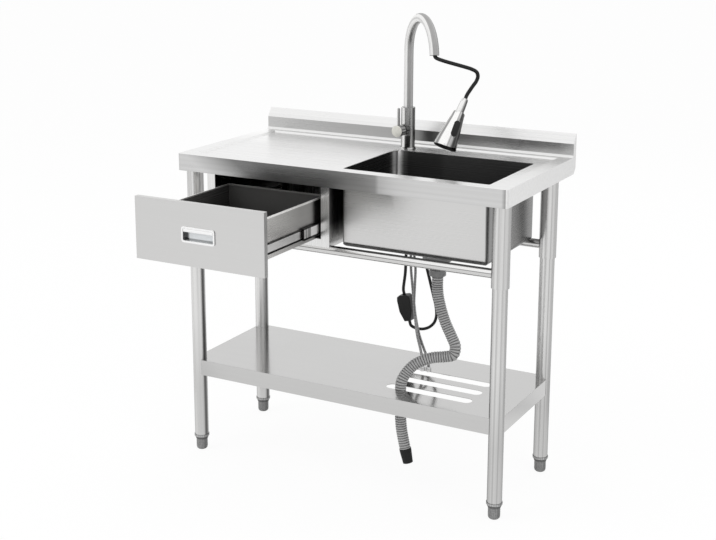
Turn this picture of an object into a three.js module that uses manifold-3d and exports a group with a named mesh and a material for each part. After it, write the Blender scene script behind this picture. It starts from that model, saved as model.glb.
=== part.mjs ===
// A free-standing stainless steel kitchen sink unit: a worktop with a splashback, one basin, a
// drawer on ball slides, a pull-out mixer tap, a slotted undershelf and four adjustable feet.
// Millimetres, +Z up. Lengths along X are the unit's width, along Y its depth (the splashback is
// at +Y), and the origin of the exported group is on the floor below the middle of the whole.
import * as THREE from 'three';
import { mergeVertices } from 'three/addons/utils/BufferGeometryUtils.js';
import Module from 'manifold-3d';

const wasm = await Module();
wasm.setup();

// ---------------------------------------------------------------- driving dimensions
const GAP = 0.3;                  // clearance between pieces that touch

// worktop and splashback
const WORKTOP_LENGTH = 1000;
const WORKTOP_DEPTH = 500;
const WORKTOP_HEIGHT = 900;
const APRON = 48;                 // height of the folded front and side edges
const SHEET = 1.5;                // worktop, basin and shelf
const APRON_HEM = 4.5;            // inward fold at the foot of the apron
const CORNER_RADIUS = 8;          // front corners, seen from above
const RIM = 38;                   // raised rim at the front and the two ends
const REAR_RIM = 24;              // raised rim in front of the splashback
const RECESS_DEPTH = 5;           // the work surface lies this far below the rim
const RECESS_SLOPE = 8;
const SPLASH_RISE = 65;
const SPLASH_BAND = 38;           // upright lower part of the splashback
const SPLASH_SETBACK = 20;        // how far the upright part stands in front of the back face
const SPLASH_LIP = 2;             // flat top edge
const SPLASH_FILLET = 6;
const END_CHAMFER = 15;           // rear lower corner of the ends

// basin
const BASIN_DEPTH = 215;          // below the work surface
const BASIN_CABINET_ROOM = 17.5;  // between it and the drawer cabinet
const BASIN_LEG_ROOM = 19.2;      // between it and the right legs' sockets
const BASIN_FRONT_ROOM = 57;      // behind the worktop's front edge
const BASIN_TAP_ROOM = 34;        // in front of the tap's axis
const BASIN_CORNER = 9;
const BASIN_FLOOR_RADIUS = 16;
const BASIN_FLANGE = 6.5;

// frame
const LEG_INSET = 30;             // leg axes from the worktop's ends,
const LEG_FRONT_INSET = 42;       // its front edge
const LEG_REAR_INSET = 119;       // and its back
const LEG_RADIUS = 20.5;
const TUBE_WALL = 1.2;
const SOCKET_WALL = 3;
const SOCKET_BELOW_RAIL = 34.5;
const LEG_IN_SOCKET = 130;        // length of leg inside its socket
const RAIL_RADIUS = 12.5;
const RAIL_BELOW_BASIN = 9;       // axis of the rails below the basin's underside
const FOOT_COLLAR_Z = 38;         // underside of the collar that closes each leg
const FOOT_COLLAR = 9;
const FOOT_PLUG = 26;
const FOOT_RADIUS = 16.5;
const FOOT_STUD_RADIUS = 5;
const FOOT_STUD = 24;

// undershelf
const SHELF_HEIGHT = 283;
const SHELF_FLANGE = 46;
const SHELF_HEM = 12;
const SHELF_OVERHANG = 15;        // past the leg axes
const SLOT_LENGTH = 256;
const SLOT_WIDTH = 34;
const SLOT_PITCH = 68;
const SLOT_COUNT = 3;
const SLOT_OFFSET = 26.5;         // middle of the slots, right of the basin's
const FIRST_SLOT_INSET = 70;      // behind the front legs' axes

// drawer cabinet and drawer
const CABINET_INSET = 90;         // from the worktop's left end,
const CABINET_FRONT_INSET = 15.5; // its front edge
const CABINET_REAR_INSET = 109.5; // and its back
const CABINET_WIDTH = 394.5;
const CABINET_SHEET = 1.2;
const STILE = 26;
const BOTTOM_RAIL = 22;
const DRAWER_KEPT_IN = 65;        // the drawer stands open by the cabinet's length less this
const MIDDLE_SHARE = 0.28;        // the middle slide members' share of that travel
const SLIDE_SPACE = 12.7;         // between the cabinet's slide rail and the drawer's side
const SLIDE_SHORTER = 25;         // than the cabinet
const SLIDE_HEIGHT = 35;
const SLIDE_ABOVE_BOX = 28.2;     // middle of the slide above the underside of the box
const SLIDE_SHEET = 1.2;
const SLIDE_RUNNING = 0.4;        // between the nested members
const BOX_TOP_ROOM = 37.2;        // below the foot of the apron
const BOX_SHORTER = 15;           // than the cabinet
const BOX_LIFT = 22.5;            // underside of the box above the underside of the cabinet
const BOX_HEM = 4;                // rolled top edge
const PANEL_BELOW_CABINET = 2.3;
const PANEL_THICKNESS = 15;
const PANEL_OVERLAP = 1.75;       // each side wider than the cabinet
const PANEL_BELOW_APRON = 4;
const PULL_WIDTH = 103;
const PULL_HEIGHT = 42;
const PULL_FRAME = 5;
const PULL_DEPTH = 12;
const PULL_PROUD = 2;

// mixer tap
const TAP_FROM_CABINET = 39.5;    // right of the drawer cabinet
const TAP_SETBACK = 49;           // in front of the rear rim
const TAP_BASE_RADIUS = 23;
const TAP_BASE = 5;
const TAP_BODY_RADIUS = 20.3;
const TAP_BODY = 116;
const SPOUT_RADIUS = 13.25;
const SPOUT_WALL = 1.4;
const SPOUT_TOP = 1293;
const SPOUT_REACH = 205;
const SPOUT_DIRECTION = -44;      // degrees from +X
const SPOUT_ARC = 174;            // degrees turned by the gooseneck
const SPOUT_SEAT = 24;            // length of riser inside the body
const BUSH = 6;
const SHANK_RADIUS = 16.5;
const SHANK_WALL = 2;
const SHANK_LENGTH = 62;
const LEVER_DIRECTION = -95.6;    // degrees from +X
const LEVER_AXIS = 53;            // above the foot of the body
const BOSS_RADIUS = 16;
const BOSS_END = 30;
const STEM_RADIUS = 7;
const HUB_START = 36;
const HUB_LENGTH = 24;
const HUB_RADIUS = 16.5;
const STEM_BALL = 43;             // middle of the stem's ball end, on which the lever tilts
const STEM_NECK = 5;
const CAP_THICKNESS = 3;
const LEVER_ROD_RADIUS = 4.2;
const LEVER_ROD_TOP = 66;         // above the lever's axis

// hoses
const PULL_HOSE_RADIUS = 4.5;
const SUPPLY_HOSE_RADIUS = 3.9;
const HOSE_PORT_RADIUS = 9.3;     // ring of hose ends under the tap's body
const HOSE_NUT_LENGTH = 15;
const WEIGHT_WIDTH = 44;
const WEIGHT_HEIGHT = 80;
const WEIGHT_THICKNESS = 30;
const WEIGHT_TILT = 13;           // degrees
const WEIGHT_DROP = 446.3;        // from the tap down to where the hose enters it
const DRAIN_HOSE_RADIUS = 16;
const DRAIN_HOSE_ROOT = 13.8;
const DRAIN_HOSE_BORE = 12.4;
const DRAIN_RIB_PITCH = 6.5;
const CUFF_LENGTH = 42;

// spray head: its own axis runs from the nozzle up to the hose
const HEAD_LENGTH = 145;          // with its ferrule
const FERRULE = 40;
const HEAD_AXIS = new THREE.Vector3(0.2, 0.459, 0.865).normalize();
const HEAD_FROM_TAP = new THREE.Vector3(225.7, -108.5, -223.1); // its top, from the tap's axis and top
const BUTTON_FACING = new THREE.Vector3(0.71, -0.674, 0.195);
const NOZZLE_RADIUS = 32.4;
const BUTTON_LENGTH = 47;
const BUTTON_WIDTH = 17;
const BUTTON_HEIGHT = 55;         // its middle, above the nozzle
const BUTTON_PROUD = 0.8;
const BUTTON_DEPTH = 4;
const BUTTON_TRAVEL = 1.5;

// drain
const WASTE_RADIUS = 42.5;
const WASTE_FLANGE = 56;
const WASTE_DEPTH = 45;
const TAIL_RADIUS = 20;
const TAIL_LENGTH = 82;           // from the basin's floor down to the end of the tail
const WASTE_WALL = 2;
const COUPLING_RADIUS = 23.5;
const COUPLING_LENGTH = 18;

// ---------------------------------------------------------------- derived places
const END_X = WORKTOP_LENGTH / 2;
const FRONT = -WORKTOP_DEPTH / 2;
const BACK = WORKTOP_DEPTH / 2;
const APRON_BOTTOM = WORKTOP_HEIGHT - APRON;
const SURFACE = WORKTOP_HEIGHT - RECESS_DEPTH;
const UNDERSIDE = SURFACE - SHEET;
const SPLASH_FACE = BACK - SPLASH_SETBACK;
const BASIN_FLOOR = SURFACE - BASIN_DEPTH;
const LEG_X = END_X - LEG_INSET;
const LEG_FRONT_Y = FRONT + LEG_FRONT_INSET;
const LEG_REAR_Y = BACK - LEG_REAR_INSET;
const SOCKET_RADIUS = LEG_RADIUS + GAP + SOCKET_WALL;
const RAIL_HEIGHT = BASIN_FLOOR - SHEET - RAIL_BELOW_BASIN;
const SOCKET_BOTTOM = RAIL_HEIGHT - SOCKET_BELOW_RAIL;
const LEG_TOP = SOCKET_BOTTOM + LEG_IN_SOCKET;
const CABINET_BOTTOM = RAIL_HEIGHT + RAIL_RADIUS + GAP;
const CABINET_LEFT = -END_X + CABINET_INSET;
const CABINET_RIGHT = CABINET_LEFT + CABINET_WIDTH;
const CABINET_FRONT = FRONT + CABINET_FRONT_INSET;
const CABINET_LENGTH = BACK - CABINET_REAR_INSET - CABINET_FRONT;
const TAP_X = CABINET_RIGHT + TAP_FROM_CABINET;
const TAP_Y = SPLASH_FACE - REAR_RIM - TAP_SETBACK;
const BASIN_LEFT = CABINET_RIGHT + BASIN_CABINET_ROOM;
const BASIN_RIGHT = LEG_X - SOCKET_RADIUS - BASIN_LEG_ROOM;
const BASIN_FRONT = FRONT + BASIN_FRONT_ROOM;
const BASIN_REAR = TAP_Y - BASIN_TAP_ROOM;
const BASIN_X = (BASIN_LEFT + BASIN_RIGHT) / 2;
const BASIN_Y = (BASIN_FRONT + BASIN_REAR) / 2;
const TAIL_BOTTOM = BASIN_FLOOR - TAIL_LENGTH;
const SLOT_X = BASIN_X + SLOT_OFFSET;
const FIRST_SLOT_Y = LEG_FRONT_Y + FIRST_SLOT_INSET;
const DRAWER_OUT = CABINET_LENGTH - DRAWER_KEPT_IN;
const MIDDLE_OUT = DRAWER_OUT * MIDDLE_SHARE;
const SLIDE_LENGTH = CABINET_LENGTH - SLIDE_SHORTER;
const BOX_LENGTH = CABINET_LENGTH - BOX_SHORTER;
const OPENING_LEFT = CABINET_LEFT + STILE;
const OPENING_RIGHT = CABINET_RIGHT - STILE;
const PANEL_FRONT = CABINET_FRONT - PANEL_THICKNESS - GAP - DRAWER_OUT;
const PANEL_TOP = APRON_BOTTOM - PANEL_BELOW_APRON;
const PANEL_HEIGHT = PANEL_TOP - CABINET_BOTTOM + PANEL_BELOW_CABINET;
const BOX_BOTTOM = CABINET_BOTTOM + BOX_LIFT;
const BOX_HEIGHT = APRON_BOTTOM - BOX_TOP_ROOM - BOX_BOTTOM;
const SLIDE_Z = BOX_BOTTOM + SLIDE_ABOVE_BOX;
const BOX_FRONT = PANEL_FRONT + PANEL_THICKNESS + GAP;
const BOX_LEFT = OPENING_LEFT + SLIDE_SPACE;
const BOX_RIGHT = OPENING_RIGHT - SLIDE_SPACE;
const TAP_FOOT = SURFACE + GAP + TAP_BASE + GAP;
const WHOLE_MIDDLE_Y = (PANEL_FRONT - GAP - PULL_PROUD + BACK) / 2;

// ---------------------------------------------------------------- materials
function metal(color, roughness) {
  return new THREE.MeshStandardMaterial({ color, roughness, metalness: 1 });
}
function plastic(color, roughness) {
  return new THREE.MeshStandardMaterial({ color, roughness, metalness: 0 });
}
const brushedSteel = () => metal(0xc9cac8, 0.35);
const darkSteel = () => metal(0x8f8f8d, 0.4);
const polishedTube = () => metal(0xd6d6d3, 0.22);
const chrome = () => metal(0xdedfe0, 0.1);
const zincSteel = () => metal(0xb9bab8, 0.3);
const greyPlastic = () => plastic(0x8d8e8f, 0.55);
const blackPlastic = () => plastic(0x1a1a1b, 0.5);
const blackRubber = () => plastic(0x141415, 0.8);

// ---------------------------------------------------------------- shape helpers
const X = new THREE.Vector3(1, 0, 0);
const Y = new THREE.Vector3(0, 1, 0);
const Z = new THREE.Vector3(0, 0, 1);

function signedVolume(position, index) {
  const a = new THREE.Vector3();
  const b = new THREE.Vector3();
  const c = new THREE.Vector3();
  let sum = 0;
  for (let i = 0; i < index.length; i += 3) {
    a.fromBufferAttribute(position, index[i]);
    b.fromBufferAttribute(position, index[i + 1]);
    c.fromBufferAttribute(position, index[i + 2]);
    sum += a.dot(b.cross(c));
  }
  return sum;
}

// A closed geometry as a solid: shared corners merged, empty triangles dropped, faces outwards.
function solidOf(geometry) {
  const bare = geometry.clone();
  bare.deleteAttribute('normal');
  bare.deleteAttribute('uv');
  const merged = mergeVertices(bare, 1e-4);
  const corners = merged.index.array;
  let index = [];
  for (let i = 0; i < corners.length; i += 3) {
    const [a, b, c] = [corners[i], corners[i + 1], corners[i + 2]];
    if (a !== b && b !== c && c !== a) index.push(a, b, c);
  }
  if (signedVolume(merged.attributes.position, index) < 0) index = index.reverse();
  return new wasm.Manifold(new wasm.Mesh({
    numProp: 3,
    vertProperties: Float32Array.from(merged.attributes.position.array),
    triVerts: Uint32Array.from(index),
  }));
}

function geometryOf(solid) {
  const { vertProperties, triVerts } = solid.getMesh();
  const geometry = new THREE.BufferGeometry();
  geometry.setAttribute('position', new THREE.BufferAttribute(vertProperties, 3));
  geometry.setIndex(new THREE.BufferAttribute(triVerts, 1));
  geometry.computeVertexNormals();
  return geometry;
}

function unite(...solids) {
  return solids.reduce((whole, next) => whole.add(next));
}
function cut(solid, ...tools) {
  return tools.reduce((rest, tool) => rest.subtract(tool), solid);
}

function block(x0, x1, y0, y1, z0, z1) {
  const geometry = new THREE.BoxGeometry(x1 - x0, y1 - y0, z1 - z0);
  geometry.translate((x0 + x1) / 2, (y0 + y1) / 2, (z0 + z1) / 2);
  return solidOf(geometry);
}

// An upright round bar.
function upright(radius, z0, z1, x = 0, y = 0, sides = 24) {
  const geometry = new THREE.CylinderGeometry(radius, radius, z1 - z0, sides);
  geometry.rotateX(Math.PI / 2);
  geometry.translate(x, y, (z0 + z1) / 2);
  return solidOf(geometry);
}

// A round bar along X.
function crossbar(radius, x0, x1, y, z, sides = 24) {
  const geometry = new THREE.CylinderGeometry(radius, radius, x1 - x0, sides);
  geometry.rotateZ(-Math.PI / 2);
  geometry.translate((x0 + x1) / 2, y, z);
  return solidOf(geometry);
}

// [radius, height] pairs turned round the Z axis.
function turned(profile, sides = 24) {
  const points = profile.map(([r, z]) => new THREE.Vector2(r, z));
  const geometry = new THREE.LatheGeometry(points, sides);
  geometry.rotateX(Math.PI / 2);
  return solidOf(geometry);
}
// A turned ring: the profile closes on itself.
function turnedRing(profile, sides = 24) {
  return turned([...profile, profile[0]], sides);
}

function outline(points) {
  return new THREE.Shape(points.map(([a, b]) => new THREE.Vector2(a, b)));
}

function roundedRectangle(x0, x1, y0, y1, radius) {
  const shape = new THREE.Shape();
  shape.absarc(x1 - radius, y0 + radius, radius, -Math.PI / 2, 0);
  shape.absarc(x1 - radius, y1 - radius, radius, 0, Math.PI / 2);
  shape.absarc(x0 + radius, y1 - radius, radius, Math.PI / 2, Math.PI);
  shape.absarc(x0 + radius, y0 + radius, radius, Math.PI, Math.PI * 1.5);
  shape.closePath();
  return shape;
}

// The outline's x runs along `across` and its y along `up`; it is drawn out along across x up.
function drawn(shape, across, up, at, depth, options = {}) {
  const along = new THREE.Vector3().crossVectors(across, up);
  const geometry = new THREE.ExtrudeGeometry(shape, {
    depth, bevelEnabled: false, curveSegments: 3, ...options,
  });
  geometry.applyMatrix4(new THREE.Matrix4().makeBasis(across, up, along).setPosition(at));
  return solidOf(geometry);
}
function slab(shape, z0, z1, options) {
  return drawn(shape, X, Y, new THREE.Vector3(0, 0, z0), z1 - z0, options);
}
// Outline in (y, z), drawn along X.
function alongX(points, x0, x1) {
  return drawn(outline(points), Y, Z, new THREE.Vector3(x0, 0, 0), x1 - x0);
}
// Outline in (x, z), drawn along Y.
function alongY(points, y0, y1) {
  return drawn(outline(points), X, Z, new THREE.Vector3(0, y1, 0), y1 - y0);
}

// A block whose lower face is smaller by `slope` all round.
function pocket(x0, x1, y0, y1, z0, z1, slope) {
  const geometry = new THREE.BoxGeometry(x1 - x0, y1 - y0, z1 - z0);
  const position = geometry.attributes.position;
  for (let i = 0; i < position.count; i++) {
    if (position.getZ(i) > 0) continue;
    position.setX(i, position.getX(i) - Math.sign(position.getX(i)) * slope);
    position.setY(i, position.getY(i) - Math.sign(position.getY(i)) * slope);
  }
  geometry.translate((x0 + x1) / 2, (y0 + y1) / 2, (z0 + z1) / 2);
  return solidOf(geometry);
}

// A round tube or rod swept along a curve; a bore above 0 makes it hollow.
function swept(path, radius, bore, sides, steps) {
  const shape = new THREE.Shape().absarc(0, 0, radius, 0, Math.PI * 2);
  if (bore > 0) shape.holes.push(new THREE.Path().absarc(0, 0, bore, 0, Math.PI * 2, true));
  return solidOf(new THREE.ExtrudeGeometry(shape, {
    extrudePath: path, steps, curveSegments: sides / 2,
  }));
}

function curveThrough(points) {
  return new THREE.CatmullRomCurve3(points.map((p) => new THREE.Vector3(...p)), false, 'centripetal');
}
function hose(points, radius, step = radius * 6) {
  const path = curveThrough(points);
  const steps = Math.min(80, Math.round(path.getLength() / step));
  return swept(path, radius, 0, 8, steps);
}

const unit = new THREE.Group();

function part(name, solid, material, group = unit) {
  const mesh = new THREE.Mesh(geometryOf(solid), material);
  mesh.name = name;
  group.add(mesh);
  return mesh;
}

// ---------------------------------------------------------------- worktop and basin
// Seen from above, with rounded front corners; the inset is the sheet inside which it is drawn.
function worktopOutline(inset, rear) {
  const shape = new THREE.Shape();
  const r = CORNER_RADIUS - inset;
  const x = END_X - inset;
  const front = FRONT + inset;
  shape.moveTo(x, rear);
  shape.lineTo(-x, rear);
  shape.absarc(-x + r, front + r, r, Math.PI, Math.PI * 1.5);
  shape.absarc(x - r, front + r, r, -Math.PI / 2, 0);
  shape.closePath();
  return shape;
}

// The upright band, the slanted top and the fillet at its foot, down to the foot of the apron.
function splashOutline() {
  const top = WORKTOP_HEIGHT + SPLASH_RISE;
  return [
    [SPLASH_FACE - SPLASH_FILLET, WORKTOP_HEIGHT], [SPLASH_FACE, WORKTOP_HEIGHT + SPLASH_FILLET],
    [SPLASH_FACE, WORKTOP_HEIGHT + SPLASH_BAND], [BACK - SPLASH_LIP, top], [BACK, top],
    [BACK, APRON_BOTTOM + END_CHAMFER], [BACK - END_CHAMFER, APRON_BOTTOM],
    [SPLASH_FACE - SPLASH_FILLET, APRON_BOTTOM],
  ].reverse();
}

// The hollow behind the splashback, open to the hollow under the worktop.
function splashHollow() {
  const top = WORKTOP_HEIGHT + SPLASH_RISE - 2 * SHEET;
  const back = BACK - SHEET;
  const face = SPLASH_FACE + SHEET;
  return alongX([
    [face, APRON_BOTTOM + END_CHAMFER + SHEET], [back, APRON_BOTTOM + END_CHAMFER + SHEET],
    [back, top], [face, WORKTOP_HEIGHT + SPLASH_BAND - SHEET],
  ], -END_X + SHEET, END_X - SHEET);
}

function worktop() {
  const inset = END_X - RIM;
  const rear = SPLASH_FACE - REAR_RIM;
  const recess = (drop) => pocket(-inset, inset, FRONT + RIM, rear,
    SURFACE - drop, WORKTOP_HEIGHT - drop, RECESS_SLOPE);
  const hollow = cut(
    slab(worktopOutline(SHEET, BACK - END_CHAMFER - SHEET), APRON_BOTTOM + SHEET,
      WORKTOP_HEIGHT - SHEET, { curveSegments: 6 }),
    recess(SHEET));
  const mouthX = END_X - APRON_HEM;
  const mouth = block(-mouthX, mouthX, FRONT + APRON_HEM, BACK - END_CHAMFER - APRON_HEM,
    APRON_BOTTOM - 1, APRON_BOTTOM + 2 * SHEET);
  const body = unite(
    slab(worktopOutline(0, SPLASH_FACE + SHEET), APRON_BOTTOM, WORKTOP_HEIGHT, { curveSegments: 6 }),
    alongX(splashOutline(), -END_X, END_X));
  return cut(body, recess(0), hollow, splashHollow(), mouth,
    slab(basinOutline(0), UNDERSIDE - 1, WORKTOP_HEIGHT),
    upright(SHANK_RADIUS + GAP, UNDERSIDE - 1, WORKTOP_HEIGHT, TAP_X, TAP_Y));
}

function basinOutline(offset) {
  return roundedRectangle(BASIN_LEFT - offset, BASIN_RIGHT + offset,
    BASIN_FRONT - offset, BASIN_REAR + offset, BASIN_CORNER + offset);
}

// A pan with rounded corners and a rounded floor edge, up to the given height: its three
// outlines, from above, from the front and from the side, drawn through each other.
function pan(offset, floor, top) {
  const radius = BASIN_FLOOR_RADIUS + offset;
  const side = (from, to) => roundedRectangle(from - offset, to + offset, floor, top + 2 * radius, radius);
  const smooth = { curveSegments: 4 };
  const width = BASIN_RIGHT - BASIN_LEFT + 2 * offset;
  const length = BASIN_REAR - BASIN_FRONT + 2 * offset;
  const left = new THREE.Vector3(BASIN_LEFT - offset, 0, 0);
  const rear = new THREE.Vector3(0, BASIN_REAR + offset, 0);
  return slab(basinOutline(offset), floor, top)
    .intersect(drawn(side(BASIN_LEFT, BASIN_RIGHT), X, Z, rear, length, smooth))
    .intersect(drawn(side(BASIN_FRONT, BASIN_REAR), Y, Z, left, width, smooth));
}

function basin() {
  const top = UNDERSIDE - GAP;
  return cut(
    unite(pan(SHEET, BASIN_FLOOR - SHEET, top), slab(basinOutline(BASIN_FLANGE), top - SHEET, top)),
    pan(0, BASIN_FLOOR, top + 1),
    upright(WASTE_RADIUS + GAP, BASIN_FLOOR - 5, BASIN_FLOOR + 5, BASIN_X, BASIN_Y));
}

// ---------------------------------------------------------------- drain
function wasteCup() {
  const rest = BASIN_FLOOR + GAP;
  const shoulder = BASIN_FLOOR - WASTE_DEPTH;
  const neck = shoulder - 17;
  return turnedRing([
    [WASTE_RADIUS - WASTE_WALL, rest + WASTE_WALL], [WASTE_FLANGE - 2, rest + WASTE_WALL],
    [WASTE_FLANGE, rest], [WASTE_RADIUS, rest], [WASTE_RADIUS, shoulder], [TAIL_RADIUS, neck],
    [TAIL_RADIUS, TAIL_BOTTOM], [TAIL_RADIUS - WASTE_WALL, TAIL_BOTTOM],
    [TAIL_RADIUS - WASTE_WALL, neck + 1.5], [WASTE_RADIUS - WASTE_WALL, shoulder + 1.5],
  ]).translate([BASIN_X, BASIN_Y, 0]);
}

function strainerBasket() {
  const radius = WASTE_RADIUS - WASTE_WALL - 2;
  const bottom = BASIN_FLOOR - WASTE_DEPTH + 0.5;
  const top = BASIN_FLOOR - 2;
  const wall = 1.2;
  const cup = turned([
    [0, bottom], [radius, bottom], [radius + 1, top], [radius + 1 - wall, top],
    [radius - wall, bottom + wall], [4, bottom + wall], [4, top - 14], [7, top - 10], [7, top - 4],
    [0, top - 2],
  ], 20);
  const holes = [];
  for (let i = 0; i < 6; i++) {
    const turn = (i / 6) * Math.PI * 2;
    holes.push(upright(6, bottom - 1, bottom + 3, 22 * Math.cos(turn), 22 * Math.sin(turn), 6));
  }
  return cut(cup, ...holes).translate([BASIN_X, BASIN_Y, 0]);
}

function wasteLocknut() {
  const top = BASIN_FLOOR - SHEET - GAP;
  return turnedRing([
    [WASTE_RADIUS + GAP, top], [WASTE_RADIUS + 12, top], [WASTE_RADIUS + 12, top - 4],
    [WASTE_RADIUS + 6, top - 6], [WASTE_RADIUS + 6, top - 14], [WASTE_RADIUS + GAP, top - 14],
  ]).translate([BASIN_X, BASIN_Y, 0]);
}

function couplingNut() {
  const bottom = TAIL_BOTTOM - 10;
  return turnedRing([
    [DRAIN_HOSE_BORE, bottom], [COUPLING_RADIUS - 1, bottom],
    [COUPLING_RADIUS, bottom + 2], [COUPLING_RADIUS, bottom + COUPLING_LENGTH],
    [TAIL_RADIUS + GAP, bottom + COUPLING_LENGTH], [TAIL_RADIUS + GAP, TAIL_BOTTOM - GAP],
    [DRAIN_HOSE_BORE, TAIL_BOTTOM - GAP],
  ], 20).translate([BASIN_X, BASIN_Y, 0]);
}

const DRAIN_HOSE_TOP = TAIL_BOTTOM - 10 - GAP;
// A height drawn for a shelf at 283 and the given fall above it, at the real shelf and fall.
function fallTo(z, drawnFall, fall) {
  return z < 283 ? z * SHELF_HEIGHT / 283 : SHELF_HEIGHT + (z - 283) * fall / drawnFall;
}
// x from the basin's middle, y from the first slot (103 mm in front of the basin's middle).
const DRAIN_ROUTE = [
  [0, 103, 587.7], [0, 103, 572.7], [0, 103, 557.7], [3, 101, 535], [14, 96, 500], [32, 90, 460],
  [54.5, 84, 424], [68.5, 78, 400], [65.5, 71, 378], [43.5, 64, 371], [15.5, 54, 367],
  [-11.5, 41, 358], [-33.5, 28, 344], [-48.5, 16, 325], [-57.5, 4, 303], [-59.5, 0.2, 280],
  [-59.5, 0, 240], [-58.5, 0, 200], [-55.5, 0, 165], [-50.5, 0, 138], [-47, 0, 123], [-43.5, 0, 108],
].map(([x, y, z]) => [
  BASIN_X + x, FIRST_SLOT_Y + y * (BASIN_Y - FIRST_SLOT_Y) / 103,
  fallTo(z, 304.7, DRAIN_HOSE_TOP - SHELF_HEIGHT),
]);

// A corrugated tube: crest and root rings outside, a smooth bore inside, flat ends.
function ribbedTube(path, crest, root, bore, pitch) {
  const sides = 8;
  const ribs = Math.min(200, Math.round(path.getLength() / pitch));
  const rings = ribs * 2;
  const boreStep = 10;
  const frames = path.computeFrenetFrames(rings, false);
  const positions = [];
  const ring = (i, radius) => {
    const first = positions.length / 3;
    const centre = path.getPointAt(i / rings);
    for (let k = 0; k < sides; k++) {
      const turn = (k / sides) * Math.PI * 2;
      const point = centre.clone()
        .addScaledVector(frames.normals[i], radius * Math.cos(turn))
        .addScaledVector(frames.binormals[i], radius * Math.sin(turn));
      positions.push(point.x, point.y, point.z);
    }
    return first;
  };
  const index = [];
  const band = (from, to) => {
    for (let k = 0; k < sides; k++) {
      const next = (k + 1) % sides;
      index.push(from + k, from + next, to + next, from + k, to + next, to + k);
    }
  };
  const outer = [];
  for (let i = 0; i <= rings; i++) outer.push(ring(i, i % 2 === 0 ? crest : root));
  const inner = [];
  for (let i = 0; i < rings; i += boreStep) inner.push(ring(i, bore));
  inner.push(ring(rings, bore));
  for (let i = 0; i < rings; i++) band(outer[i], outer[i + 1]);
  for (let i = 0; i < inner.length - 1; i++) band(inner[i + 1], inner[i]);
  band(inner[0], outer[0]);
  band(outer[rings], inner[inner.length - 1]);
  const geometry = new THREE.BufferGeometry();
  geometry.setAttribute('position', new THREE.Float32BufferAttribute(positions, 3));
  geometry.setIndex(index);
  return solidOf(geometry);
}

// The rubber cuff carries on where the hose ends.
function hoseCuff() {
  const path = curveThrough(DRAIN_ROUTE);
  const end = path.getPointAt(1);
  const along = path.getTangentAt(1);
  const solid = turnedRing([
    [DRAIN_HOSE_BORE, GAP], [DRAIN_HOSE_RADIUS + 0.6, GAP],
    [DRAIN_HOSE_RADIUS + 0.6, 8], [DRAIN_HOSE_RADIUS - 2, CUFF_LENGTH],
    [DRAIN_HOSE_BORE - 2, CUFF_LENGTH],
  ], 20);
  const turn = new THREE.Matrix4().makeRotationFromQuaternion(
    new THREE.Quaternion().setFromUnitVectors(Z, along)).setPosition(end);
  return solid.transform(turn.toArray());
}

// ---------------------------------------------------------------- legs, feet and rails
function legSocket() {
  const top = UNDERSIDE - GAP;
  return turned([
    [SOCKET_RADIUS, SOCKET_BOTTOM], [SOCKET_RADIUS, top], [0, top], [0, top - 2],
    [LEG_RADIUS + GAP, top - 2], [LEG_RADIUS + GAP, SOCKET_BOTTOM], [SOCKET_RADIUS, SOCKET_BOTTOM],
  ]);
}

function leg() {
  const bottom = FOOT_COLLAR_Z + FOOT_COLLAR + GAP;
  return turnedRing([
    [LEG_RADIUS, bottom], [LEG_RADIUS, LEG_TOP],
    [LEG_RADIUS - TUBE_WALL, LEG_TOP], [LEG_RADIUS - TUBE_WALL, bottom],
  ]);
}

// Collar and plug that close the leg, bored for the foot's stud.
function footInsert() {
  const plug = LEG_RADIUS - TUBE_WALL - GAP;
  const collarTop = FOOT_COLLAR_Z + FOOT_COLLAR;
  const bore = FOOT_STUD_RADIUS + GAP;
  return turnedRing([
    [bore, FOOT_COLLAR_Z], [LEG_RADIUS - 1, FOOT_COLLAR_Z], [LEG_RADIUS + 1.5, FOOT_COLLAR_Z + 3],
    [LEG_RADIUS + 1.5, collarTop], [plug, collarTop], [plug, collarTop + FOOT_PLUG],
    [bore, collarTop + FOOT_PLUG],
  ], 20);
}

function foot() {
  const top = FOOT_COLLAR_Z - GAP;
  return turned([
    [0, 0], [FOOT_RADIUS - 4, 0], [FOOT_RADIUS - 1, 3], [FOOT_RADIUS, 8], [FOOT_RADIUS, top - 8],
    [FOOT_RADIUS + 2.5, top - 2], [FOOT_RADIUS + 2.5, top], [FOOT_STUD_RADIUS, top],
    [FOOT_STUD_RADIUS, top + FOOT_STUD], [0, top + FOOT_STUD],
  ], 20);
}

function rail(y) {
  const bar = (radius, end) => crossbar(radius, -end, end, y, RAIL_HEIGHT);
  const clearance = SOCKET_RADIUS + GAP;
  const post = (x) => upright(clearance, RAIL_HEIGHT - 40, RAIL_HEIGHT + 40, x, y);
  const beyond = (side) => block(Math.min(side * LEG_X, side * END_X), Math.max(side * LEG_X, side * END_X),
    y - 40, y + 40, RAIL_HEIGHT - 40, RAIL_HEIGHT + 40);
  return cut(bar(RAIL_RADIUS, LEG_X + 1), bar(RAIL_RADIUS - TUBE_WALL, END_X),
    post(-LEG_X), post(LEG_X), beyond(-1), beyond(1));
}

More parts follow.
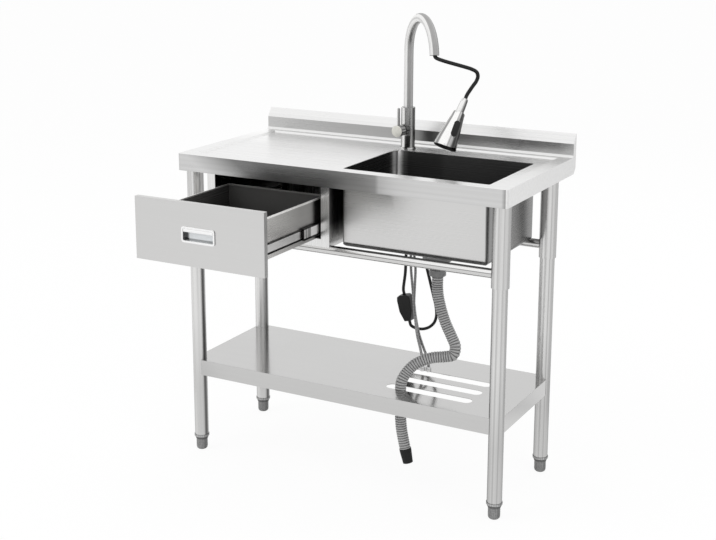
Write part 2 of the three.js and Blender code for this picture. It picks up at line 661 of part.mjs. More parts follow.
// ---------------------------------------------------------------- undershelf
function shelf() {
  const x = LEG_X + SHELF_OVERHANG;
  const front = LEG_FRONT_Y - SHELF_OVERHANG;
  const rear = LEG_REAR_Y + SHELF_OVERHANG;
  const bottom = SHELF_HEIGHT - SHELF_FLANGE;
  const inner = (inset, z0, z1) => block(-x + inset, x - inset, front + inset, rear - inset, z0, z1);
  let tray = cut(
    block(-x, x, front, rear, bottom, SHELF_HEIGHT),
    inner(SHEET, bottom + SHEET, SHELF_HEIGHT - SHEET),
    inner(SHELF_HEM, bottom - 1, bottom + 2 * SHEET));
  for (const side of [-1, 1]) {
    for (const [y, outward] of [[LEG_FRONT_Y, -1], [LEG_REAR_Y, 1]]) {
      const legX = side * LEG_X;
      const cornerX = [legX, side * (x + 1)].sort((a, b) => a - b);
      const cornerY = [y, y + outward * (SHELF_OVERHANG + 1)].sort((a, b) => a - b);
      tray = cut(tray,
        upright(LEG_RADIUS + GAP, bottom - 1, SHELF_HEIGHT + 1, legX, y),
        block(...cornerX, ...cornerY, bottom - 1, SHELF_HEIGHT + 1));
    }
  }
  for (let i = 0; i < SLOT_COUNT; i++) {
    const y = FIRST_SLOT_Y + i * SLOT_PITCH;
    tray = cut(tray, slab(roundedRectangle(SLOT_X - SLOT_LENGTH / 2, SLOT_X + SLOT_LENGTH / 2,
      y - SLOT_WIDTH / 2, y + SLOT_WIDTH / 2, SLOT_WIDTH / 2 - 0.01), SHELF_HEIGHT - 4, SHELF_HEIGHT + 1));
  }
  return tray;
}

// ---------------------------------------------------------------- drawer cabinet
// Sheet box, open at the top under the worktop, with a front frame and two slide rails.
function drawerCabinet() {
  const top = UNDERSIDE - GAP;
  const rear = CABINET_FRONT + CABINET_LENGTH;
  const t = CABINET_SHEET;
  const shell = cut(
    block(CABINET_LEFT, CABINET_RIGHT, CABINET_FRONT, rear, CABINET_BOTTOM, top),
    block(CABINET_LEFT + t, CABINET_RIGHT - t, CABINET_FRONT + t, rear - t, CABINET_BOTTOM + t, top + 1),
    block(OPENING_LEFT, OPENING_RIGHT, CABINET_FRONT - 1, CABINET_FRONT + 2 * t,
      CABINET_BOTTOM + BOTTOM_RAIL, APRON_BOTTOM));
  const half = SLIDE_HEIGHT / 2 + 2;
  const z0 = SLIDE_Z - half;
  const z1 = SLIDE_Z + half;
  const ends = [CABINET_FRONT + t - 0.5, rear - 12];
  const slideRail = (wall, face) => {
    const inward = Math.sign(face - wall);
    const solid = [wall, face].sort((a, b) => a - b);
    const hollow = [wall, face - inward * t].sort((a, b) => a - b);
    return cut(block(...solid, ...ends, z0, z1),
      block(...hollow, ends[0] + 2, ends[1] + 1, z0 + t, z1 - t));
  };
  return unite(shell,
    slideRail(CABINET_LEFT + t - 0.2, OPENING_LEFT),
    slideRail(CABINET_RIGHT - t + 0.2, OPENING_RIGHT));
}

// The three nested members of one slide. The side is -1 on the left and 1 on the right, and
// distances are measured from the cabinet's slide rail towards the drawer.
function slideMembers(side) {
  const wall = side < 0 ? OPENING_LEFT : OPENING_RIGHT;
  const t = SLIDE_SHEET;
  const channel = (web, tip, half, y0) => {
    const inward = Math.sign(tip - web);
    const profile = [
      [web, -half], [tip, -half], [tip, -half + t], [web + inward * t, -half + t],
      [web + inward * t, half - t], [tip, half - t], [tip, half], [web, half],
    ];
    return alongY(profile.map(([s, z]) => [wall - side * s, SLIDE_Z + z]), y0, y0 + SLIDE_LENGTH);
  };
  const closedFront = CABINET_FRONT + 4;
  const outerHalf = SLIDE_HEIGHT / 2;
  const middleHalf = outerHalf - t - SLIDE_RUNNING;
  const innerHalf = middleHalf - t - SLIDE_RUNNING;
  const middleWeb = SLIDE_SPACE / 2 - t / 2;
  const middleFront = closedFront - MIDDLE_OUT;
  const middle = unite(
    channel(middleWeb + t, GAP + t + 0.6, middleHalf, middleFront),
    channel(middleWeb, SLIDE_SPACE - GAP - t - 0.6, middleHalf, middleFront));
  return [
    channel(GAP, SLIDE_SPACE - 3.5, outerHalf, closedFront),
    middle,
    channel(SLIDE_SPACE - GAP, middleWeb + t + 0.6, innerHalf, closedFront - DRAWER_OUT),
  ];
}

// ---------------------------------------------------------------- drawer
function drawerPanel() {
  const x0 = CABINET_LEFT - PANEL_OVERLAP;
  const x1 = CABINET_RIGHT + PANEL_OVERLAP;
  const z0 = PANEL_TOP - PANEL_HEIGHT;
  const rear = PANEL_FRONT + PANEL_THICKNESS;
  const t = CABINET_SHEET;
  const lip = 20;               // the box overlaps the panel's back sheet by this much
  const [pullX, pullZ] = pullCentre();
  const hole = roundedRectangle(-PULL_WIDTH / 2 + 2, PULL_WIDTH / 2 - 2,
    -PULL_HEIGHT / 2 + 2, PULL_HEIGHT / 2 - 2, 5);
  return cut(
    block(x0, x1, PANEL_FRONT, rear, z0, PANEL_TOP),
    block(x0 + t, x1 - t, PANEL_FRONT + t, rear - t, z0 + t, PANEL_TOP - t),
    block(BOX_LEFT + lip, BOX_RIGHT - lip, rear - 2 * t, rear + 1,
      BOX_BOTTOM + lip, BOX_BOTTOM + BOX_HEIGHT - lip),
    drawn(hole, X, Z, new THREE.Vector3(pullX, PANEL_FRONT + 2 * t, pullZ), 3 * t));
}

function pullCentre() {
  return [CABINET_LEFT + CABINET_WIDTH / 2, PANEL_TOP - PANEL_HEIGHT / 2];
}

// A flush pull: a frame on the panel's face and a cup sunk into it.
function drawerPull() {
  const [pullX, pullZ] = pullCentre();
  const centred = (dx, dz, radius) => roundedRectangle(-dx, dx, -dz, dz, radius);
  const front = PANEL_FRONT - GAP;
  const place = (shape, y0, y1) => drawn(shape, X, Z, new THREE.Vector3(pullX, y1, pullZ), y1 - y0);
  const w = PULL_WIDTH / 2;
  const h = PULL_HEIGHT / 2;
  return cut(
    unite(
      place(centred(w, h, 7), front - PULL_PROUD, front),
      place(centred(w - 2 - GAP, h - 2 - GAP, 5), front - 1, front + PULL_DEPTH)),
    place(centred(w - PULL_FRAME, h - PULL_FRAME, 3), front - PULL_PROUD - 1, front + PULL_DEPTH - 1));
}

function drawerBox() {
  const t = CABINET_SHEET;
  const rear = BOX_FRONT + BOX_LENGTH;
  const top = BOX_BOTTOM + BOX_HEIGHT;
  const inside = (inset, z0, z1) => block(BOX_LEFT + inset, BOX_RIGHT - inset,
    BOX_FRONT + inset, rear - inset, z0, z1);
  return cut(
    block(BOX_LEFT, BOX_RIGHT, BOX_FRONT, rear, BOX_BOTTOM, top),
    inside(t, BOX_BOTTOM + t, top - BOX_HEM),
    inside(BOX_HEM, top - BOX_HEM - 1, top + 1));
}

// ---------------------------------------------------------------- tap
// Riser and gooseneck in the spout's own plane: u runs outwards, the riser is at u = 0.
class Gooseneck extends THREE.Curve {
  constructor(bottom, arc) {
    super();
    this.radius = SPOUT_REACH / 2;
    this.centreZ = SPOUT_TOP - SPOUT_RADIUS - this.radius;
    this.bottom = bottom;
    this.rise = this.centreZ - bottom;
    this.sweep = THREE.MathUtils.degToRad(arc);
    this.total = this.rise + this.radius * this.sweep;
  }

  getPoint(t, target = new THREE.Vector3()) {
    const travelled = t * this.total;
    const turn = Math.max(0, travelled - this.rise) / this.radius;
    const u = this.radius * (1 - Math.cos(turn));
    const z = travelled < this.rise ? this.bottom + travelled
      : this.centreZ + this.radius * Math.sin(turn);
    return target.set(u, 0, z);
  }
}

const TAP_TOP = TAP_FOOT + TAP_BODY;
const RISER_BOTTOM = TAP_TOP - SPOUT_SEAT;

function tapBody() {
  const boss = new THREE.CylinderGeometry(BOSS_RADIUS, BOSS_RADIUS, BOSS_END, 24);
  const stemBore = new THREE.CylinderGeometry(STEM_RADIUS + GAP, STEM_RADIUS + GAP, BOSS_END, 16);
  for (const [geometry, start] of [[boss, 0], [stemBore, BOSS_END / 2]]) {
    geometry.rotateZ(-Math.PI / 2);
    geometry.translate(start + BOSS_END / 2, 0, TAP_FOOT + LEVER_AXIS);
    geometry.rotateZ(THREE.MathUtils.degToRad(LEVER_DIRECTION));
  }
  const barrel = turned([
    [0, TAP_FOOT], [TAP_BODY_RADIUS, TAP_FOOT], [TAP_BODY_RADIUS, TAP_TOP - 1],
    [TAP_BODY_RADIUS - 1, TAP_TOP], [0, TAP_TOP],
  ]);
  return cut(unite(barrel, solidOf(boss)), solidOf(stemBore),
    upright(SPOUT_RADIUS + GAP, RISER_BOTTOM - GAP, TAP_TOP + 1),
    upright(PULL_HOSE_RADIUS + GAP, TAP_FOOT - 1, TAP_TOP, 0, 0, 12));
}

function spout() {
  const bore = SPOUT_RADIUS - SPOUT_WALL;
  const bend = new Gooseneck(RISER_BOTTOM, SPOUT_ARC);
  const arch = new Gooseneck(bend.centreZ - 0.1, SPOUT_ARC);
  const riser = turnedRing([
    [SPOUT_RADIUS, RISER_BOTTOM], [SPOUT_RADIUS, bend.centreZ], [bore, bend.centreZ],
    [bore, RISER_BOTTOM],
  ], 16);
  return unite(riser, swept(arch, SPOUT_RADIUS, bore, 16, 21));
}

// Guide ring in the mouth of the spout, in the spout's own plane.
function outletBush() {
  const mouth = new Gooseneck(RISER_BOTTOM, SPOUT_ARC);
  const end = mouth.getPoint(1);
  const lean = THREE.MathUtils.degToRad(SPOUT_ARC - 180);
  const bore = SPOUT_RADIUS - SPOUT_WALL;
  const ring = turnedRing([
    [bore - 2.4, -1.4], [SPOUT_RADIUS - 0.2, -1.4], [SPOUT_RADIUS - 0.2, -GAP], [bore - 0.8, -GAP],
    [bore - 0.8, BUSH], [bore - 2.2, BUSH],
  ], 16);
  const turn = new THREE.Matrix4().makeRotationY(lean).setPosition(end);
  return ring.transform(turn.toArray());
}

function innerHose() {
  const lastTurn = SPOUT_ARC - 8;
  return swept(new Gooseneck(TAP_FOOT, lastTurn), PULL_HOSE_RADIUS, 0, 8, 26);
}

function tapBaseRing() {
  const bottom = SURFACE + GAP;
  return turnedRing([
    [SHANK_RADIUS + GAP, bottom], [TAP_BASE_RADIUS, bottom], [TAP_BASE_RADIUS, bottom + TAP_BASE - 2],
    [TAP_BASE_RADIUS - 1.5, bottom + TAP_BASE], [SHANK_RADIUS + GAP, bottom + TAP_BASE],
  ]);
}

const SHANK_TOP = TAP_FOOT - GAP;

function tapShank() {
  return turnedRing([
    [SHANK_RADIUS, SHANK_TOP - SHANK_LENGTH], [SHANK_RADIUS, SHANK_TOP],
    [SHANK_RADIUS - SHANK_WALL, SHANK_TOP], [SHANK_RADIUS - SHANK_WALL, SHANK_TOP - SHANK_LENGTH],
  ]);
}

function shankWasher() {
  const top = UNDERSIDE - GAP;
  return turnedRing([
    [SHANK_RADIUS + GAP, top - 3], [SHANK_RADIUS + 5.5, top - 3], [SHANK_RADIUS + 5.5, top],
    [SHANK_RADIUS + GAP, top],
  ], 20);
}

function shankNut() {
  const top = UNDERSIDE - GAP - 3 - GAP;
  return cut(
    upright(SHANK_RADIUS + 7.5, top - 10, top, 0, 0, 6),
    upright(SHANK_RADIUS + GAP, top - 11, top + 1, 0, 0, 24));
}

// ---------------------------------------------------------------- lever: turned about its own Z axis
// A bar with a necked ball end.
function cartridgeStem() {
  const ball = [50, 70, 90, 115, 140, 160].map((degrees) => {
    const turn = THREE.MathUtils.degToRad(degrees);
    return [STEM_RADIUS * Math.sin(turn), STEM_BALL - STEM_RADIUS * Math.cos(turn)];
  });
  return turned([
    [0, BOSS_END / 2 + GAP], [STEM_RADIUS, BOSS_END / 2 + GAP], [STEM_RADIUS, BOSS_END],
    [STEM_NECK, BOSS_END + 2], ...ball, [0, STEM_BALL + STEM_RADIUS],
  ], 16);
}

// The hub's blind bore holds the stem's ball and opens towards the boss, so that it can tilt.
function leverHub() {
  const end = HUB_START + HUB_LENGTH;
  const bore = STEM_RADIUS + GAP;
  const blind = STEM_BALL + STEM_RADIUS + GAP;
  const hub = turned([
    [STEM_RADIUS + 2.5, HUB_START], [HUB_RADIUS - 1.5, HUB_START], [HUB_RADIUS, HUB_START + 1.5],
    [HUB_RADIUS, end], [0, end], [0, blind], [bore, blind], [bore, STEM_BALL - 2],
    [STEM_RADIUS + 2.5, HUB_START],
  ]);
  const socket = new THREE.CylinderGeometry(LEVER_ROD_RADIUS + GAP, LEVER_ROD_RADIUS + GAP, 10, 12);
  socket.rotateZ(Math.PI / 2);
  socket.translate(HUB_RADIUS, 0, HUB_START + HUB_LENGTH * 0.66);
  return cut(hub, solidOf(socket));
}

// The local +X side of the lever's group points up.
function leverRod() {
  const bottom = HUB_RADIUS - 5 + GAP;
  const rodSolid = turned([
    [0, bottom], [LEVER_ROD_RADIUS, bottom], [LEVER_ROD_RADIUS, LEVER_ROD_TOP - 2],
    [LEVER_ROD_RADIUS - 1.6, LEVER_ROD_TOP], [0, LEVER_ROD_TOP],
  ], 16);
  const lay = new THREE.Matrix4().makeRotationY(Math.PI / 2)
    .setPosition(0, 0, HUB_START + HUB_LENGTH * 0.66);
  return rodSolid.transform(lay.toArray());
}

function hubCap() {
  const start = HUB_START + HUB_LENGTH + GAP;
  return turned([
    [0, start], [HUB_RADIUS, start], [HUB_RADIUS, start + CAP_THICKNESS - 1.2],
    [HUB_RADIUS - 2.5, start + CAP_THICKNESS], [0, start + CAP_THICKNESS + 0.6],
  ]);
}

// ---------------------------------------------------------------- spray head: nozzle at z = 0
const HEAD_BODY = HEAD_LENGTH - FERRULE - GAP;
const HEAD_PROFILE = [
  [NOZZLE_RADIUS, 2], [NOZZLE_RADIUS - 0.6, 8], [NOZZLE_RADIUS - 3.1, 26], [NOZZLE_RADIUS - 13.9, 88],
  [NOZZLE_RADIUS - 15.8, HEAD_BODY - 3], [NOZZLE_RADIUS - 18, HEAD_BODY],
];
const BUTTON_SLOPE = Math.atan2(10.8, 62); // the body narrows by this angle at the button
const BUTTON_RADIUS = NOZZLE_RADIUS - 8.15; // of the body at the middle of the button

// The button's own frame: x across, y up the head, z out of the head.
function buttonFrame(out) {
  const up = new THREE.Vector3(0, -Math.sin(BUTTON_SLOPE), Math.cos(BUTTON_SLOPE));
  const normal = new THREE.Vector3(0, Math.cos(BUTTON_SLOPE), Math.sin(BUTTON_SLOPE));
  const across = new THREE.Vector3().crossVectors(up, normal);
  return new THREE.Matrix4().makeBasis(across, up, normal)
    .setPosition(normal.clone().multiplyScalar(out).add(new THREE.Vector3(0, BUTTON_RADIUS, BUTTON_HEIGHT)));
}
function buttonShape(grow) {
  const w = BUTTON_WIDTH / 2 + grow;
  const l = BUTTON_LENGTH / 2 + grow;
  return roundedRectangle(-w, w, -l, l, w - 0.01);
}

function sprayBody() {
  const shell = turned([
    [0, 4], [NOZZLE_RADIUS - 2, 4], [NOZZLE_RADIUS - 1, 0], ...HEAD_PROFILE, [0, HEAD_BODY],
  ]);
  const pocketDepth = BUTTON_DEPTH + BUTTON_TRAVEL + GAP;
  const hole = slab(buttonShape(GAP), BUTTON_PROUD - pocketDepth, 10, { curveSegments: 5 });
  return cut(shell, hole.transform(buttonFrame(0).toArray()));
}

function sprayButton() {
  const pad = slab(buttonShape(-0.8), 0, BUTTON_DEPTH - 0.8, {
    curveSegments: 5, bevelEnabled: true, bevelSize: 0.8, bevelThickness: 0.8, bevelSegments: 2,
  });
  const lowered = block(-BUTTON_WIDTH, BUTTON_WIDTH, -BUTTON_LENGTH, BUTTON_LENGTH, -2, 0);
  return cut(pad, lowered).transform(buttonFrame(BUTTON_PROUD - BUTTON_DEPTH).toArray());
}

function nozzleFace() {
  const radius = NOZZLE_RADIUS - 2.3 - GAP;
  return turned([[0, 0.6], [radius, 0.6], [radius, 4 - GAP], [0, 4 - GAP]], 32);
}

function hoseFerrule() {
  const bottom = HEAD_BODY + GAP;
  return turned([
    [0, bottom], [11.2, bottom], [10.4, bottom + FERRULE * 0.55], [9.2, bottom + FERRULE - 3],
    [7.4, HEAD_LENGTH], [0, HEAD_LENGTH],
  ]);
}

// ---------------------------------------------------------------- free hoses
const port = (degrees) => {
  const turn = THREE.MathUtils.degToRad(degrees);
  return [TAP_X + HOSE_PORT_RADIUS * Math.cos(turn), TAP_Y + HOSE_PORT_RADIUS * Math.sin(turn)];
};
const HOSE_START_Z = TAP_FOOT - GAP;
const HEAD_TOP = new THREE.Vector3(TAP_X, TAP_Y, SPOUT_TOP).add(HEAD_FROM_TAP);
// x and y from the tap's axis, z as drawn for a tap 617.3 mm above a shelf at 283.
const hanging = ([x, y, z]) => [
  TAP_X + x, TAP_Y + y, fallTo(z, 617.3, HOSE_START_Z - SHELF_HEIGHT),
];

// From the mouth of the spout, out to the right and down into the spray head's ferrule.
function sprayHoseRoute() {
  const neck = new Gooseneck(TAP_FOOT, SPOUT_ARC - 8);
  const end = neck.getPoint(1);
  const along = neck.getTangent(1);
  const turn = THREE.MathUtils.degToRad(SPOUT_DIRECTION);
  const place = (p) => [TAP_X + p.x * Math.cos(turn), TAP_Y + p.x * Math.sin(turn), p.z];
  const start = end.clone().addScaledVector(along, GAP);
  const next = end.clone().addScaledVector(along, 7);
  const tip = HEAD_TOP.clone().addScaledVector(HEAD_AXIS, GAP);
  const above = HEAD_TOP.clone().addScaledVector(HEAD_AXIS, 12);
  const loop = [
    [150, -142, -110.5], [158, -141, -115], [170, -140, -118.5], [193, -133, -125], [224, -120, -134],
    [243, -109, -141], [254, -101, -149], [256, -96, -161], [251, -95, -175], [242, -98, -189],
  ].map(([x, y, z]) => [TAP_X + x, TAP_Y + y, SPOUT_TOP + z]);
  return [place(start), place(next), ...loop, above.toArray(), tip.toArray()];
}

const WEIGHT_LEAN = THREE.MathUtils.degToRad(WEIGHT_TILT);
const WEIGHT_X = TAP_X - 5;
const WEIGHT_Y = TAP_Y - 3;
const WEIGHT_TOP = HOSE_START_Z - WEIGHT_DROP;

// The hose that pulls out: down from the tap, through its weight, round and up to the tap again.
function underHoseRoute() {
  const [upX, upY] = port(90);
  const through = (distance) => [
    WEIGHT_X + distance * Math.sin(WEIGHT_LEAN), WEIGHT_Y, WEIGHT_TOP - distance * Math.cos(WEIGHT_LEAN),
  ];
  const fromWeight = ([x, y, z]) => [TAP_X + x, TAP_Y + y, WEIGHT_TOP + z];
  const down = [[0, 0, 870], [0, 0, 800], [0, 0, 700], [-1, -1, 600], [-3, -2, 520]];
  const bend = [
    [20, -6, -92.5], [37, -4, -99], [57, -1, -99], [76, 2, -91],
    [91, 4, -75], [97, 6, -52], [94, 7, -24], [86, 8, 4],
  ];
  const rise = [
    [76, 9, 492], [62, 10, 540], [46, 11, 600], [30, 13, 660], [15, 15, 710],
    [4, 14, 755],
  ];
  return [
    [TAP_X, TAP_Y, HOSE_START_Z], ...down.map(hanging), through(-14), through(0), through(28), through(56),
    through(WEIGHT_HEIGHT), through(WEIGHT_HEIGHT + 5), ...bend.map(fromWeight), ...rise.map(hanging),
    [upX + 1, upY + 2, HOSE_START_Z - 108.3], [upX, upY, HOSE_START_Z - 78.3],
    [upX, upY, HOSE_START_Z - 55.3], [upX, upY, HOSE_START_Z - 30.3], [upX, upY, HOSE_START_Z],
  ];
}

function supplyHoseRoute(degrees, lower, end) {
  const [x, y] = port(degrees);
  const above = [end[0], end[1], end[2] + 9];
  const start = [0, 40.3, 80.3].map((drop) => [x, y, HOSE_START_Z - drop]);
  return [...start, [x + 1, y, HOSE_START_Z - 140.3], ...lower.map(hanging), above, end];
}
const HOSE_END_Z = SHELF_HEIGHT + HOSE_NUT_LENGTH + 2 * GAP;
const HOT_END = [TAP_X + 144, TAP_Y - 143, HOSE_END_Z];
const COLD_END = [TAP_X + 126, TAP_Y - 145, HOSE_END_Z];
const HOT_ROUTE = supplyHoseRoute(20, [
  [11, 3, 700], [14, 0, 645], [20, -13, 600], [29, -30, 548], [42, -46, 502],
  [61, -71, 451], [75, -88, 417], [96, -108, 376], [123, -130, 342], [139, -140, 321],
], HOT_END);
const COLD_ROUTE = supplyHoseRoute(310, [
  [10, -7, 700], [15, -7.5, 664], [22, -13, 638], [34, -25, 602], [50, -43, 554],
  [58, -62, 507], [68, -86, 458], [83, -107, 418], [97, -122, 377], [113, -135, 346],
  [123, -143, 322],
], COLD_END);

function supplyNut([x, y, z]) {
  const top = z - GAP;
  return turned([
    [0, top - HOSE_NUT_LENGTH], [8, top - HOSE_NUT_LENGTH], [8, top - 5], [5.5, top], [0, top],
  ], 6).translate([x, y, 0]);
}

// Two clamped halves round the hose, as one block with the hose's channel through it.
function hoseWeight() {
  const w = WEIGHT_WIDTH / 2;
  const h = WEIGHT_HEIGHT;
  const bevel = 5;
  const shape = new THREE.Shape([
    [-w + 10, 0], [-w + 2, -5], [-w, -16], [-w + 1, -h * 0.62], [-w + 12, -h], [w - 12, -h],
    [w - 1, -h * 0.62], [w, -16], [w - 2, -5], [w - 10, 0],
  ].map(([a, b]) => new THREE.Vector2(a, b)).reverse());
  const depth = WEIGHT_THICKNESS - 2 * bevel;
  const halves = drawn(shape, X, Z, new THREE.Vector3(0, depth / 2, 0), depth, {
    bevelEnabled: true, bevelSize: 2, bevelOffset: -2, bevelThickness: bevel, bevelSegments: 2,
  });
  const grip = PULL_HOSE_RADIUS + GAP + 0.2;
  const channel = turned([
    [0, 1], [grip + 2, 1], [grip + 2, -18], [grip, -26], [grip, 26 - h], [grip + 2, 18 - h],
    [grip + 2, -h - 1], [0, -h - 1],
  ], 16);
  const lean = new THREE.Matrix4().makeRotationY(-WEIGHT_LEAN).setPosition(WEIGHT_X, WEIGHT_Y, WEIGHT_TOP);
  return cut(halves, channel).transform(lean.toArray());
}

// ---------------------------------------------------------------- assembly
function groupAt(x, y, z, turnZ = 0, parent = unit) {
  const group = new THREE.Group();
  group.position.set(x, y, z);
  group.rotation.z = THREE.MathUtils.degToRad(turnZ);
  parent.add(group);
  return group;
}

function buildFrame() {
  for (const [row, y] of [['front', LEG_FRONT_Y], ['rear', LEG_REAR_Y]]) {
    for (const [side, x] of [['left', -LEG_X], ['right', LEG_X]]) {
      const corner = groupAt(x, y, 0);
      part(`leg_socket_${row}_${side}`, legSocket(), polishedTube(), corner);
      part(`leg_${row}_${side}`, leg(), polishedTube(), corner);
      part(`foot_insert_${row}_${side}`, footInsert(), greyPlastic(), corner);
      part(`foot_${row}_${side}`, foot(), greyPlastic(), corner);
    }
    part(`${row}_rail`, rail(y), polishedTube());
  }
  part('undershelf', shelf(), brushedSteel());
}

function buildDrawer() {
  part('drawer_cabinet', drawerCabinet(), darkSteel());
  for (const [name, side] of [['left', -1], ['right', 1]]) {
    const [cabinetMember, middleMember, drawerMember] = slideMembers(side);
    part(`${name}_slide_cabinet_member`, cabinetMember, zincSteel());
    part(`${name}_slide_middle_member`, middleMember, zincSteel());
    part(`${name}_slide_drawer_member`, drawerMember, zincSteel());
  }
  part('drawer_front', drawerPanel(), brushedSteel());
  part('drawer_pull', drawerPull(), chrome());
  part('drawer_box', drawerBox(), darkSteel());
}

function buildTap() {
  const tap = groupAt(TAP_X, TAP_Y, 0);
  part('tap_base_ring', tapBaseRing(), chrome(), tap);
  part('tap_body', tapBody(), chrome(), tap);
  part('tap_shank', tapShank(), zincSteel(), tap);
  part('shank_washer', shankWasher(), blackRubber(), tap);
  part('shank_nut', shankNut(), zincSteel(), tap);

  const spoutGroup = groupAt(0, 0, 0, SPOUT_DIRECTION, tap);
  part('spout', spout(), polishedTube(), spoutGroup);
  part('outlet_bush', outletBush(), blackPlastic(), spoutGroup);
  part('inner_hose', innerHose(), blackRubber(), spoutGroup);

  const lever = groupAt(0, 0, TAP_FOOT + LEVER_AXIS, LEVER_DIRECTION, tap);
  const leverAxis = new THREE.Group();
  leverAxis.quaternion.setFromRotationMatrix(new THREE.Matrix4().makeBasis(Z, Y.clone().negate(), X));
  lever.add(leverAxis);
  part('cartridge_stem', cartridgeStem(), zincSteel(), leverAxis);
  part('lever_hub', leverHub(), chrome(), leverAxis);
  part('lever_rod', leverRod(), chrome(), leverAxis);
  part('hub_cap', hubCap(), metal(0xe9e6dc, 0.25), leverAxis);
}

function buildSprayHead() {
  const head = new THREE.Group();
  const facing = BUTTON_FACING.clone().addScaledVector(HEAD_AXIS, -BUTTON_FACING.dot(HEAD_AXIS)).normalize();
  const across = new THREE.Vector3().crossVectors(facing, HEAD_AXIS);
  head.quaternion.setFromRotationMatrix(new THREE.Matrix4().makeBasis(across, facing, HEAD_AXIS));
  head.position.copy(HEAD_TOP).addScaledVector(HEAD_AXIS, -HEAD_LENGTH);
  unit.add(head);
  part('hose_ferrule', hoseFerrule(), chrome(), head);
  part('spray_head', sprayBody(), chrome(), head);
  part('nozzle_face', nozzleFace(), blackRubber(), head);
  part('spray_button', sprayButton(), blackPlastic(), head);
}

function buildHoses() {
  part('spray_hose', hose(sprayHoseRoute(), PULL_HOSE_RADIUS, PULL_HOSE_RADIUS * 4), blackRubber());
  part('under_hose', hose(underHoseRoute(), PULL_HOSE_RADIUS), blackRubber());
  part('hose_weight', hoseWeight(), blackPlastic());
  part('supply_hose_hot', hose(HOT_ROUTE, SUPPLY_HOSE_RADIUS), zincSteel());
  part('supply_hose_cold', hose(COLD_ROUTE, SUPPLY_HOSE_RADIUS), zincSteel());
  part('supply_nut_hot', supplyNut(HOT_END), zincSteel());
  part('supply_nut_cold', supplyNut(COLD_END), zincSteel());
}

function buildDrain() {
  part('waste_cup', wasteCup(), greyPlastic());
  part('strainer_basket', strainerBasket(), chrome());
  part('waste_locknut', wasteLocknut(), greyPlastic());
  part('coupling_nut', couplingNut(), greyPlastic());
  const drainPath = curveThrough(DRAIN_ROUTE);
  part('drain_hose', ribbedTube(drainPath, DRAIN_HOSE_RADIUS, DRAIN_HOSE_ROOT, DRAIN_HOSE_BORE,
    DRAIN_RIB_PITCH), greyPlastic());
  part('hose_cuff', hoseCuff(), blackRubber());
}

part('worktop', worktop(), brushedSteel());
part('basin', basin(), brushedSteel());
buildFrame();
buildDrawer();
buildTap();
buildSprayHead();
buildHoses();
buildDrain();
unit.position.y = -WHOLE_MIDDLE_Y;

export default unit;
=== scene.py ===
import math

import bpy
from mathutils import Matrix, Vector


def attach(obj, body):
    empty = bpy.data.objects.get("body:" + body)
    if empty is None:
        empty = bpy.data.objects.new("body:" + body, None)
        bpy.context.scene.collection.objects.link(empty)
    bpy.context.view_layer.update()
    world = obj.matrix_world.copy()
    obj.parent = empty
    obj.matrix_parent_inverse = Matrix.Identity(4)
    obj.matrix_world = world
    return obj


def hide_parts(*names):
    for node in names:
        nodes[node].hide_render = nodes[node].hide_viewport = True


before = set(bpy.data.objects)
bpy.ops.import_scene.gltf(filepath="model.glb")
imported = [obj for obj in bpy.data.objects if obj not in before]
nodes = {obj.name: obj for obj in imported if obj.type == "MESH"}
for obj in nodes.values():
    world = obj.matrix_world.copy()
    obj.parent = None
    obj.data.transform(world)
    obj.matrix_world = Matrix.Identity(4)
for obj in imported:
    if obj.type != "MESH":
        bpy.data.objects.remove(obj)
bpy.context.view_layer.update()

# The part's frame lies this far behind the worktop's own middle, as in the part's source (metres).
SHIFT_Y = 0.15605


def at(x, y, z):
    """A point given in millimetres from the middle of the worktop, in the part's frame."""
    return Vector((x / 1000, y / 1000 + SHIFT_Y, z / 1000))


# ------------------------------------------------------------------ camera
camera_data = bpy.data.cameras.new("camera")
camera = bpy.data.objects.new("camera", camera_data)
bpy.context.scene.collection.objects.link(camera)
camera.location = at(1672.5, -3182.5, 1592.5)
camera.rotation_euler = (math.radians(77.2), 0, math.radians(29.08))
camera_data.sensor_width = 36
camera_data.lens = 65.57
camera_data.shift_x = 0.0182
camera_data.shift_y = -0.1006
camera_data.clip_end = 60
bpy.context.scene.camera = camera


